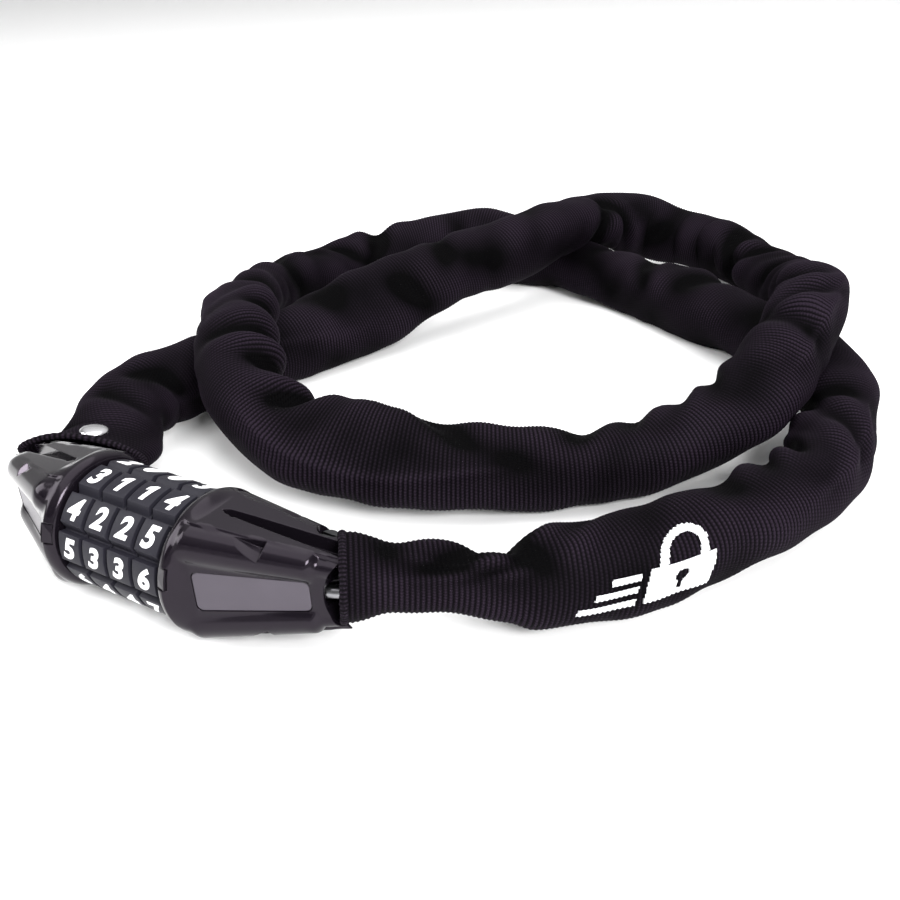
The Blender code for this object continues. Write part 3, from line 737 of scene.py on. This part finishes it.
def make_dial(number, x):
    half, tile = RING_WIDTH / 2, TILE_WIDTH / 2
    sections = [
        dial_section(x - half, RING_BORE),
        dial_section(x - half, RING_RADIUS),
        dial_section(x - tile - 0.02, RING_RADIUS),
        dial_section(x - tile),
        dial_section(x + tile),
        dial_section(x + tile + 0.02, RING_RADIUS),
        dial_section(x + half, RING_RADIUS),
        dial_section(x + half, RING_BORE),
    ]
    dial = mesh_object(f"dial_shell_{number}", *loft(sections, ring=True), "dial")
    modifier = dial.modifiers.new("edges", "BEVEL")
    modifier.width, modifier.segments, modifier.limit_method = 0.28 * MM, 3, "ANGLE"
    modifier.angle_limit = radians(32)
    apply_modifiers(dial)
    round_shading(dial, 40)
    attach(dial, f"dial_{number}")
    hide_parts(f"dial_ring_{number}")
    make_digits(number, x)


def digit_mesh(text):
    """Points in millimetres and faces of one numeral, sliced across so that it can be wrapped."""
    if text == "1":
        curve = bpy.data.curves.new("numeral", "CURVE")
        curve.dimensions, curve.fill_mode = "2D", "BOTH"
        spline = curve.splines.new("POLY")
        spline.points.add(len(ONE_OUTLINE) - 1)
        for point, (x, y) in zip(spline.points, ONE_OUTLINE):
            point.co = (x + DIGIT_SHEAR * y, y, 0, 1)
        spline.use_cyclic_u = True
    else:
        curve = bpy.data.curves.new("numeral", "FONT")
        curve.body = text
        curve.align_x, curve.align_y = "CENTER", "CENTER"
        curve.size = DIGIT_SIZE
        curve.offset = 0.27
        curve.shear = DIGIT_SHEAR
        curve.resolution_u = 5
    curve.extrude = 0.12
    obj = add_object("numeral", curve)
    mesh = baked(obj)
    bpy.data.objects.remove(obj, do_unlink=True)
    shape = bmesh.new()
    shape.from_mesh(mesh)
    bmesh.ops.remove_doubles(shape, verts=shape.verts[:], dist=1e-5)
    low = min(v.co.y for v in shape.verts)
    high = max(v.co.y for v in shape.verts)
    left = min(v.co.x for v in shape.verts)
    right = max(v.co.x for v in shape.verts)
    for k in range(1, 8):
        level = low + (high - low) * k / 8
        bmesh.ops.bisect_plane(
            shape,
            geom=shape.verts[:] + shape.edges[:] + shape.faces[:],
            plane_co=(0, level, 0),
            plane_no=(0, 1, 0),
        )
    centre = ((left + right) / 2, (low + high) / 2)
    points = [(v.co.x - centre[0], v.co.y - centre[1], v.co.z) for v in shape.verts]
    shape.verts.index_update()
    faces = [[v.index for v in f.verts] for f in shape.faces]
    shape.free()
    bpy.data.meshes.remove(mesh)
    return points, faces


def make_digits(number, centre_x):
    points, faces = [], []
    for k in range(10):
        digit = (INDEX_DIGITS[number - 1] - k) % 10
        digit_points, digit_faces = DIGITS[digit]
        first = len(points)
        for x, y, z in digit_points:
            angle = radians(INDEX_ANGLE + 36 * k) + y / TILE_RADIUS
            reach = TILE_RADIUS + 0.02 + z * 0.4
            points.append(dial_point(centre_x + x, reach, angle))
        faces += [[first + i for i in face] for face in digit_faces]
    digits = mesh_object(f"numerals_{number}", points, faces, "white")
    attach(digits, f"dial_{number}")


# ---------------- the sleeve's route and form

# Route point (x, y, z), then the cloth's half width and half height, its lean in degrees, and its lift off
# the route. These numbers weren't chosen by hand: they began as the output of an optimiser and of a fitting
# program, and many were then adjusted.
FORM = (
    (51, 8, 16.6, 9.5, 9.2, 0, 1.4),
    (69, 22, 15, 9, 8, 0, -0.5),
    (84, 37, 11, 11.2, 10.8, 0, -1),
    (98.5, 53.5, 10.5, 11.6, 10.4, -5, 0.2),
    (109.5, 71.5, 10.5, 11.4, 10.4, 5, 0.2),
    (118.5, 91.5, 10.5, 11, 10, 10, 0.6),
    (122.5, 113, 10.5, 10.6, 8.6, 10, 0),
    (120.5, 135, 10.5, 9.9, 8.3, 25, 1),
    (115, 155, 10.5, 11, 9.5, -10, -0.5),
    (106, 173, 10.5, 11.6, 10.5, 0, 0),
    (91, 187, 10.5, 11.6, 10.5, 10, 0),
    (74, 197, 10.5, 10.5, 9.5, -5, -2),
    (57, 206, 10.5, 13, 12.4, 15, -0.5),
    (39, 214, 10.5, 12, 11.5, 10, 0),
    (21, 222, 10.5, 10.2, 9.5, 5, -1.5),
    (2, 229, 10.5, 10.3, 9.3, 0, 1),
    (-19, 234, 10.5, 12.3, 11.5, 15, -1),
    (-39, 235, 11, 14.5, 8.8, 55, 2),
    (-58, 230, 11, 15, 9, 60, 3),
    (-73, 219, 11, 12.8, 10.8, 25, 1),
    (-84, 203, 11, 11.5, 11, 10, 0),
    (-91, 185, 11, 11, 10, 10, -1),
    (-94, 166, 13, 11.2, 10.7, 10, -0.5),
    (-92, 146, 17, 11.2, 10, 10, -2),
    (-85, 128, 24, 10.5, 8.5, -15, -5.5),
    (-74, 112.5, 31, 11.6, 9, -10, -8.5),
    (-62, 97, 34, 11.8, 9, -20, -8.5),
    (-49, 82, 31, 12.5, 8.5, -25, -0.5),
    (-38, 69, 25, 12.3, 8.8, -25, 1),
    (-25, 58, 20, 11.5, 9, 10, 2.5),
    (-9, 52.8, 16, 12.8, 9.5, -10, 0.2),
    (9, 53.8, 14, 14.2, 9.3, -28, 1.7),
    (28, 60.3, 12, 14.3, 9.7, -28, 2),
    (46, 70.5, 11, 10.8, 9.4, 0, 0),
    (62, 80, 11, 11.3, 10.3, 0, -0.5),
    (77, 94, 12, 10.8, 8.8, 10, -2.4),
    (89, 108, 15, 12.2, 9.2, 15, -3.5),
    (97, 125, 20, 12, 10.3, 5, -4),
    (100, 143, 27, 12, 9, 10, -4.5),
    (101.5, 163, 33, 11.3, 9, 20, -5),
    (99, 183, 34, 11, 8.8, 20, -4.5),
    (93, 203, 30, 11, 8.8, 5, -7.5),
    (86, 222, 22, 10.4, 9, -15, -5),
    (76, 239, 16, 10.6, 9.3, 10, -3.5),
    (63, 254, 12, 11.2, 9.6, 5, -2),
    (48, 265, 11, 11.2, 10, 5, 2),
    (32, 270, 13, 11.4, 10, 10, 1.5),
    (16, 268, 18, 12, 11.2, 20, -1.5),
    (3, 259, 25, 12.2, 11.8, 25, -3.2),
    (-5, 244, 32, 11.7, 9.6, 10, -6.5),
    (-10, 227, 34, 11.3, 9.6, 0, -6.8),
    (-15, 209, 31, 12.8, 12, 10, -6),
    (-22, 193, 25, 12.7, 11.2, 15, -2),
    (-30, 178, 19, 12.2, 11.2, 10, 3.5),
    (-38, 161, 15, 14.3, 9.3, 30, 3.5),
    (-46, 145, 12, 15, 9.5, 45, 2.2),
    (-52, 127, 10.5, 14.7, 9.8, 40, 0.8),
    (-59, 107, 10.5, 11.7, 11, 10, 1.3),
    (-65, 85, 10.5, 12, 10, 15, 0.3),
    (-67.3, 64, 12, 12, 8.8, 38, 1.2),
    (-62.2, 46.5, 14.5, 11.6, 8, 25, 1),
    (-52.2, 34, 15.3, 12.8, 5.8, 12, 0),
    (-45.8, 25, 16.6, 15, 4.3, 6, 0),
    (-42.5, 17, 19.2, 15.8, 4.6, 8, 0),
)

# Folds across the cloth: run, angle round, slant in millimetres a radian, width, spread in degrees, depth
# and side ridges
FOLDS = (
    (7, 120, 0, 5, 60, 0.9, 0.3),
    (22, 95, 6, 6, 45, 2.2, 0.3),
    (30, 60, 14, 3.5, 30, 1, 0.5),
    (33, 110, -4, 5, 70, 3, 0.4),
    (46, 100, 12, 4, 40, 0.9, 0.7),
    (91, 120, 5, 6, 45, 1.4, 0.5),
    (112, 140, 8, 5, 50, 2.4, 0.8),
    (128, 150, 10, 4, 60, 3.4, 1),
    (142, 80, 10, 5, 70, 1.8, 1.2),
    (157, 120, 0, 6, 70, 2.6, 1),
    (252, 60, 5, 5, 60, 1.8, 0.6),
    (278, 100, -6, 5, 50, 2.2, 0.7),
    (300, 40, 6, 6, 60, 1.6, 0.5),
    (333, 120, 4, 4, 50, 1.8, 0.6),
    (372, 100, -5, 5, 50, 2, 0.6),
    (410, 90, 5, 5, 60, 2.2, 0.8),
    (428, 110, -8, 4, 50, 1.6, 0.7),
    (465, 100, 4, 6, 60, 2.2, 0.8),
    (505, 120, 6, 6, 60, 2.4, 0.9),
    (525, 170, 0, 5, 50, 1.8, 0.8),
    (545, 175, 4, 5, 60, 3, 1.2),
    (564.5, 140, 3, 4.2, 75, 2.6, 1.5),
    (582, 150, 2, 6.5, 48, 4.6, 1.4),
    (603, 128, 6, 4.5, 42, 3.4, 1.3),
    (650, 112, -8, 5.5, 46, 2.4, 0.8),
    (668, 60, -6, 6, 40, 0.9, 0.3),
    (686, 110, 4, 6.5, 50, 2.2, 0.7),
    (706, 130, 8, 4, 45, 1, 0.5),
    (722, 125, 10, 4, 45, 1.1, 0.7),
    (737, 140, 8, 4, 50, 1, 0.6),
    (767, 85, 3, 4.5, 65, 1.7, 1.3),
    (781, 80, -6, 4.5, 60, 1.7, 1.2),
    (800, 100, 5, 5, 50, 2.2, 0.8),
    (822, 120, 0, 5, 60, 2.6, 0.8),
    (850, 140, 6, 5, 60, 1.6, 0.5),
    (879, 130, 6, 4, 60, 2.4, 0.9),
    (890, 130, -4, 5, 70, 3.6, 0.9),
    (930, 120, 5, 6, 50, 1.4, 0.4),
    (958, 150, -8, 4, 60, 2.2, 0.7),
    (970, 150, 4, 4, 70, 2.6, 0.7),
    (1002, 100, 6, 6, 60, 1.5, 0.4),
    (1040, 60, 4, 6, 60, 1.6, 0.5),
    (1062, 130, -5, 5, 50, 1.8, 0.6),
    (1090, 40, 5, 6, 50, 1.5, 0.5),
    (1140, 90, 8, 5, 60, 1.5, 0.6),
    (1166, 110, -6, 5, 60, 1.8, 0.6),
    (1186, 80, 6, 4, 50, 1.2, 0.5),
)
# Edges along the cloth: first and last run, angle round at each, height, half width in degrees
EDGES = (
    (2, 36, 30, 46, 0.5, 7),
    (8, 34, 78, 66, 0.6, 7),
    (590, 668, 50, 30, 0.9, 7),
    (500, 556, 40, 60, 0.8, 8),
    (100, 160, 20, 40, 0.7, 8),
    (745, 800, 35, 30, 0.7, 8),
    (1080, 1180, 120, 150, 0.7, 8),
    (380, 470, 60, 90, 0.8, 9),
)
CLOTH_STEP = RIB / 4
CLOTH_ROUND = 72
CLOTH_RADIUS = 11.5       # turns an angle round the cloth into millimetres for the weave and the print
SLEEVE_FROM = -2.8
PUFF_AT = 34.5            # the tight tube by the right cap swells here


def spline(rows, per_span):
    """Uniform cubic B-spline through a table, all columns together."""
    rows = np.asarray(rows, float)
    rows = np.vstack([2 * rows[0] - rows[1], rows, 2 * rows[-1] - rows[-2]])
    t = (np.arange(per_span) / per_span)[:, None]
    fine = []
    for k in range(len(rows) - 3):
        a, b, c, d = rows[k : k + 4]
        early = a * (1 - t) ** 3 + b * (3 * t**3 - 6 * t**2 + 4)
        fine.append((early + c * (-3 * t**3 + 3 * t**2 + 3 * t + 1) + d * t**3) / 6)
    return np.vstack(fine + [rows[-2]])


class Sleeve:
    """The cloth tube as a surface of distance along and angle round."""

    def __init__(self):
        fine = spline(FORM, 24)
        steps = np.linalg.norm(np.diff(fine[:, :3], axis=0), axis=1)
        run = np.concatenate([[0], np.cumsum(steps)])
        self.length = run[-1]
        self.stations = run[::24]
        before, after = fine[0].copy(), fine[-1].copy()
        before[:3] += (fine[0] - fine[1])[:3] / steps[0] * 6
        after[:3] += (fine[-1] - fine[-2])[:3] / steps[-1] * 6
        self.run = np.concatenate([[-6.0], run, [run[-1] + 6.0]])
        self.fine = np.vstack([before, fine, after])

    def at(self, run, column):
        return np.interp(run, self.run, self.fine[:, column])

    def centre(self, run):
        return np.stack([self.at(run, k) for k in range(3)], -1)

    def core(self, run):
        """The middle of the cloth's sections, which its lift moves off the route."""
        middle = self.centre(run)
        middle[..., 2] += self.at(run, 6)
        return middle

    def axes(self, run):
        ahead = self.centre(run + 2.0) - self.centre(run - 2.0)
        ahead /= np.linalg.norm(ahead, axis=-1, keepdims=True)
        side = np.cross(ahead, [0, 0, 1])
        side /= np.linalg.norm(side, axis=-1, keepdims=True)
        return ahead, side, np.cross(side, ahead)

    def bend(self, run):
        """Curvature towards the side direction and towards up, per millimetre."""
        before, here, after = self.centre(run - 6), self.centre(run), self.centre(run + 6)
        curve = (before - 2 * here + after) / 36
        _, side, up = self.axes(run)
        return (curve * side).sum(-1), (curve * up).sum(-1)

    def wrinkles(self, run, angle):
        """How far the cloth stands out from its plain oval, in millimetres."""
        out = 0.55 * np.sin(run / 9.7 + 2 * angle + 0.4) * np.sin(run / 23.0 + 1.1)
        out += 0.45 * np.sin(run / 6.1 - angle + 2.0) * np.sin(run / 31.0 + 0.3)
        out += 0.40 * np.sin(run / 14.3 + 3 * angle + 0.9)
        out += 0.28 * np.sin(run / 4.3 + 2 * angle + 1.7 * np.sin(run / 17.0)) * np.sin(run / 12.0 + angle)
        out += 0.16 * np.sin(run / 2.9 - 3 * angle + 2.2 * np.sin(run / 11.0))
        bend_side, bend_up = self.bend(run)
        inner = np.arctan2(bend_up, bend_side)
        facing = np.clip(np.cos(angle - inner), 0, 1) ** 1.5
        gather = np.abs(np.sin(run / 4.6 + 0.7 * np.sin(run / 13.0) + 0.5 * np.sin(2 * angle))) ** 0.7 - 0.6
        out += gather * facing * np.clip(np.hypot(bend_side, bend_up) * 90 - 0.7, 0, 1.6) * 0.9
        for at, middle, slant, width, spread, depth, ridge in FOLDS:
            off = np.mod(angle - radians(middle) + pi, 2 * pi) - pi
            across = (run - at - slant * off) / width
            window = np.exp(-((off / radians(spread)) ** 4))
            beside = np.exp(-((across - 1.7) ** 2)) + np.exp(-((across + 1.7) ** 2))
            out += window * (ridge * beside - depth * np.exp(-(across**2)))
        for first, last, middle, far, height, width in EDGES:
            share = np.clip((run - first) / (last - first), 0, 1)
            off = angle - np.radians(middle + (far - middle) * share)
            off = np.mod(off + pi, 2 * pi) - pi
            window = np.clip(share * 6, 0, 1) * np.clip((1 - share) * 6, 0, 1)
            out += height * window * np.exp(-((off / radians(width)) ** 2))
        calm = np.clip((run + 2) / 8, 0, 1) * np.clip((self.length + 2 - run) / 14, 0, 1)
        return out * calm

    def crest(self, run, angle):
        """Painted light and shade: from 0 in the folds, where the cloth is painted darker as shade, to 1 on
        the ridges and outside the bends, where it is painted paler as highlight.
        """
        bend_side, bend_up = self.bend(run)
        outward = np.clip(-np.cos(angle - np.arctan2(bend_up, bend_side)), 0, 1)
        bend_outside = outward * np.clip(np.hypot(bend_side, bend_up) * 40, 0, 1)
        return np.clip(0.3 + 0.25 * self.wrinkles(run, angle) + 0.45 * bend_outside, 0, 1)

    def surface(self, run, angle, ribs=True, grow=0.0):
        ahead, side, up = self.axes(run)
        swell = 1 / (1 + np.exp(-(run - PUFF_AT) / 1.1))
        tight = 0.80 + 0.20 * swell
        tight = tight + 0.20 * np.exp(-(((run + 2) / 9) ** 2))
        wide, tall = self.at(run, 3) * tight, self.at(run, 4) * tight
        lean = np.radians(self.at(run, 5))
        centre = self.core(run)
        c, s = np.cos(angle), np.sin(angle)
        power = 0.92
        x = wide * np.sign(c) * np.abs(c) ** power
        y = tall * np.sign(s) * np.abs(s) ** power
        normal_x, normal_y = c * tall, s * wide
        size = np.hypot(normal_x, normal_y)
        out = self.wrinkles(run, angle) + grow
        if ribs:
            out = out + 0.13 * np.cos(2 * pi * run / RIB)
        x = x + normal_x / size * out
        y = y + normal_y / size * out
        lip = np.clip((run - self.length + 16) / 16, 0, 1) ** 1.5 * 6.5
        facing_left = np.exp(-((np.mod(angle + pi, 2 * pi) - pi) / 0.75) ** 2)
        centre = centre + ahead * (lip * facing_left)[..., None]
        u = x * np.cos(lean) - y * np.sin(lean)
        v = x * np.sin(lean) + y * np.cos(lean)
        points = centre + side * u[..., None] + up * v[..., None]
        low = points[..., 2] < 0.5
        points[..., 2] = np.where(low, 0.5 + (points[..., 2] - 0.5) * 0.04, points[..., 2])
        points[..., 2] = np.maximum(points[..., 2], 0.1)
        return points


def make_sleeve(sleeve):
    runs = np.arange(SLEEVE_FROM, sleeve.length, CLOTH_STEP)
    angles = 2 * pi * np.arange(CLOTH_ROUND) / CLOTH_ROUND - pi / 2
    run, angle = np.meshgrid(runs, angles, indexing="ij")
    outer = sleeve.surface(run, angle)
    inner_runs = runs[::6]
    run_in, angle_in = np.meshgrid(inner_runs, angles, indexing="ij")
    inner = sleeve.surface(run_in, angle_in, ribs=False, grow=-0.9)[::-1]
    points = np.concatenate([outer.reshape(-1, 3), inner.reshape(-1, 3)])
    quads = grid_faces(len(runs) + len(inner_runs), CLOTH_ROUND, closed_rows=True)
    cloth_along = np.concatenate([run.ravel(), run_in[::-1].ravel()])
    cloth_round = np.concatenate([angle.ravel(), angle_in[::-1].ravel()]) * CLOTH_RADIUS
    painted_light_in = sleeve.crest(run_in, angle_in)[::-1]
    # Painted light share per point: paler ridges and darker folds in the cloth's colour.
    cloth_painted_light = np.concatenate([sleeve.crest(run, angle).ravel(), painted_light_in.ravel()])
    attributes = (("cloth_along", cloth_along), ("cloth_round", cloth_round), ("cloth_painted_light", cloth_painted_light))
    return fast_mesh("sleeve", points, quads, "fabric", attributes)


def make_hem(sleeve, name, run, radius, grow):
    """A rolled hem round the cloth's open edge, with small stitches pulled into it."""
    around, across = 160, 14
    angles = 2 * pi * np.arange(around) / around
    rim = sleeve.surface(np.full(around, run), angles, ribs=False, grow=grow)
    core = sleeve.surface(np.full(around, run), angles, ribs=False, grow=grow - 2.0)
    ahead, _, _ = sleeve.axes(np.full(around, run))
    out = rim - core
    out /= np.linalg.norm(out, axis=1, keepdims=True)
    points = []
    for k in range(across):
        turn = 2 * pi * k / across
        size = radius * (1 + 0.10 * np.cos(angles * 46) + 0.08 * np.sin(angles * 7 + 1))
        points.append(rim + (out * cos(turn) + ahead * sin(turn) * 1.15) * size[:, None])
    points = np.stack(points, 1)
    quads = grid_faces(around, across, closed_rows=True)
    along_hem = np.repeat(angles[:, None] * CLOTH_RADIUS, across, 1)
    over_hem = np.repeat(np.arange(across)[None, :] * 2 * pi / across * radius, around, 0)
    attributes = (("cloth_along", along_hem), ("cloth_round", over_hem))
    return fast_mesh(name, points.reshape(-1, 3), quads, "hem", attributes)


BADGE_AT, BADGE_ANGLE, BADGE_CELL = 63.0, 26.0, 0.3


def in_badge(s, t):
    """A plain padlock outline with three slanted bars behind it."""
    s = s - 0.22 * t
    body = (np.abs(s - 5) < 7.4) & (t > -8.5) & (t < 0.4)
    keyhole = (np.hypot(s - 5, t + 3.2) < 1.5) | ((np.abs(s - 5) < 0.6) & (t < -3.2) & (t > -6.6))
    reach = np.hypot(s - 5, t - 3.0)
    arch = (t > 3.0) & (reach > 3.7) & (reach < 5.6)
    legs = (t > 0.0) & (t <= 3.0) & (np.abs(s - 5) > 3.7) & (np.abs(s - 5) < 5.6)
    bars = np.zeros_like(body)
    for level, start in ((-7.5, -17.0), (-4.3, -14.0), (-1.1, -11.0)):
        bars |= (np.abs(t - level) < 0.85) & (s > start) & (s < -4.2)
    return (body & ~keyhole) | arch | legs | bars


def make_badge(sleeve):
    s = np.arange(-20.0, 18.0, BADGE_CELL)
    t = np.arange(-10.5, 10.5, BADGE_CELL)
    grid_s, grid_t = np.meshgrid(s, t, indexing="ij")
    angle = radians(BADGE_ANGLE) + grid_t / CLOTH_RADIUS
    points = sleeve.surface(BADGE_AT + grid_s, angle, grow=0.12)
    keep = in_badge(grid_s[:-1, :-1] + BADGE_CELL / 2, grid_t[:-1, :-1] + BADGE_CELL / 2)
    columns = len(t)
    first = (np.arange(len(s) - 1)[:, None] * columns + np.arange(columns - 1)[None, :])[keep]
    quads = np.stack([first, first + 1, first + columns + 1, first + columns], -1)
    used, index = np.unique(quads, return_inverse=True)
    badge = fast_mesh(
        "printed_badge",
        points.reshape(-1, 3)[used],
        index.reshape(-1, 4),
        "print",
        (
            ("cloth_along", (BADGE_AT + grid_s).ravel()[used]),
            ("cloth_round", (angle * CLOTH_RADIUS).ravel()[used]),
        ),
    )
    modifier = badge.modifiers.new("film", "SOLIDIFY")
    modifier.thickness, modifier.offset = 0.12 * MM, 0.0
    return badge


def make_end_link(name, side, heading):
    """A round-wire pear link from the cap's pin into the sleeve."""
    wire = 1.5
    small, large, apart = 4.4 - wire, 6.9 - wire, 13.0
    lean = asin((large - small) / apart)
    route = []
    for k in range(13):
        t = pi / 2 + lean + (pi - 2 * lean) * k / 12
        route.append((small * cos(t), small * sin(t)))
    for k in range(17):
        t = -pi / 2 - lean + (pi + 2 * lean) * k / 16
        route.append((apart + large * cos(t), large * sin(t)))
    turn = radians(heading)
    start = (side * LINK_PIN_X, LINK_PIN_Y)
    size = len(route)
    loops = []
    for k, (u, v) in enumerate(route):
        after, before = route[(k + 1) % size], route[k - 1]
        du, dv = after[0] - before[0], after[1] - before[1]
        norm = hypot(du, dv)
        out = (dv / norm, -du / norm)
        loop = []
        for a in turns(16):
            p, q = u + out[0] * wire * cos(a), v + out[1] * wire * cos(a)
            x = start[0] + p * cos(turn) - q * sin(turn)
            y = start[1] + p * sin(turn) + q * cos(turn)
            loop.append((x, y, AXIS_Z + wire * sin(a)))
        loops.append(loop)
    return mesh_object(name, *loft(loops, ring=True), "link", 60)


def make_rivet(sleeve, name, sign, radius, dome):
    """A domed rivet head on the flattened mouth; sign is 1 on top and -1 underneath."""
    run, angle = sleeve.length - 7.0, radians(84 * sign)
    spots = [(run, angle), (run - 2.0, angle), (run + 2.0, angle), (run, angle - 0.15), (run, angle + 0.15)]
    at, before, after, low, high = [
        Vector(sleeve.surface(np.array([r]), np.array([a]), ribs=False)[0]) for r, a in spots
    ]
    up = (after - before).cross(high - low).normalized()
    up = up if up.z * sign > 0 else -up
    turn = up.to_track_quat("Z", "Y").to_matrix()
    profile = [(radius, -0.8), (radius, 0.2), (radius * 0.97, 0.4)]
    for t in np.linspace(0.15, pi / 2 - 0.08, 8):
        profile.append((radius * 0.92 * cos(t), 0.4 + dome * sin(t)))
    loops = []
    for r, h in profile:
        loops.append([tuple(at + turn @ Vector((r * cos(t), r * sin(t), h))) for t in turns(48)])
    return mesh_object(name, *loft(loops), "steel", 40)


make_camera()
make_sky()
for lamp_settings in LAMPS:
    area_light(*lamp_settings)
make_floor()
MATERIALS = make_materials()
DIGITS = [digit_mesh(str(k)) for k in range(10)]
LEFT_BORE = ((15.0, 9.4), (17.3, 9.4), (17.3, 6.3), (28.0, 6.3))
RIGHT_BORE = ((15.0, 9.6), (18.2, 9.6), (18.2, 6.4), (22.0, 6.4), (22.0, 3.9), (30.6, 3.9))
make_cap("left", -1, LEFT_BORE, 24.6, 0.1, "lock_body")
make_cap("right", 1, RIGHT_BORE, 26.0, 0.3, "plug")
for dial_number, dial_x in enumerate(DIAL_CENTRES, 1):
    make_dial(dial_number, dial_x)
sleeve = Sleeve()
cloth = make_sleeve(sleeve)
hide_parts("chain_sleeve", "sleeve_stub", "chain_stub", *[f"chain_run_{k}" for k in range(1, 9)])
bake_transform(cloth)
right_hem = make_hem(sleeve, "right_hem", SLEEVE_FROM, 0.75, -0.3)
left_hem = make_hem(sleeve, "left_hem", sleeve.length - 0.4, 0.8, -0.3)
badge = make_badge(sleeve)
rivet = make_rivet(sleeve, "mouth_rivet", 1, 3.8, 0.8)
rivet_foot = make_rivet(sleeve, "mouth_rivet_foot", -1, 4.2, 0.3)
right_link = make_end_link("right_pear_link", 1, 33)
left_link = make_end_link("left_pear_link", -1, 121)
for piece, body, node, finish in (
    (right_link, "plug", "right_end_link", "chain"),
    (left_link, "lock_body", "left_end_link", "chain"),
    (right_hem, "plug", "right_cuff", "sleeve"),
    (left_hem, "lock_body", "left_cuff", "sleeve"),
    (badge, "plug", None, "sleeve"),
    (rivet, "lock_body", "sleeve_rivet", "steel"),
    (rivet_foot, "lock_body", "rivet_washer", "steel"),
):
    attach(piece, body)
    if node:
        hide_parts(node)
(sleeve.core(np.arange(SLEEVE_FROM, sleeve.length, 3.0)) * MM).tolist()
for name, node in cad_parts.items():
    if node.hide_render:
        continue
    kind = "steel"
    if "plate" in name:
        kind = "plate"
    elif name.startswith("code_ring"):
        kind = "brass"
    elif "index" in name or name.endswith("_cap"):
        kind = "gloss"
    elif "cuff" in name:
        kind = "hem"
    elif "link_pin" in name or "screw" in name:
        kind = "dark_steel"
    node.data.materials.clear()
    node.data.materials.append(MATERIALS[kind])
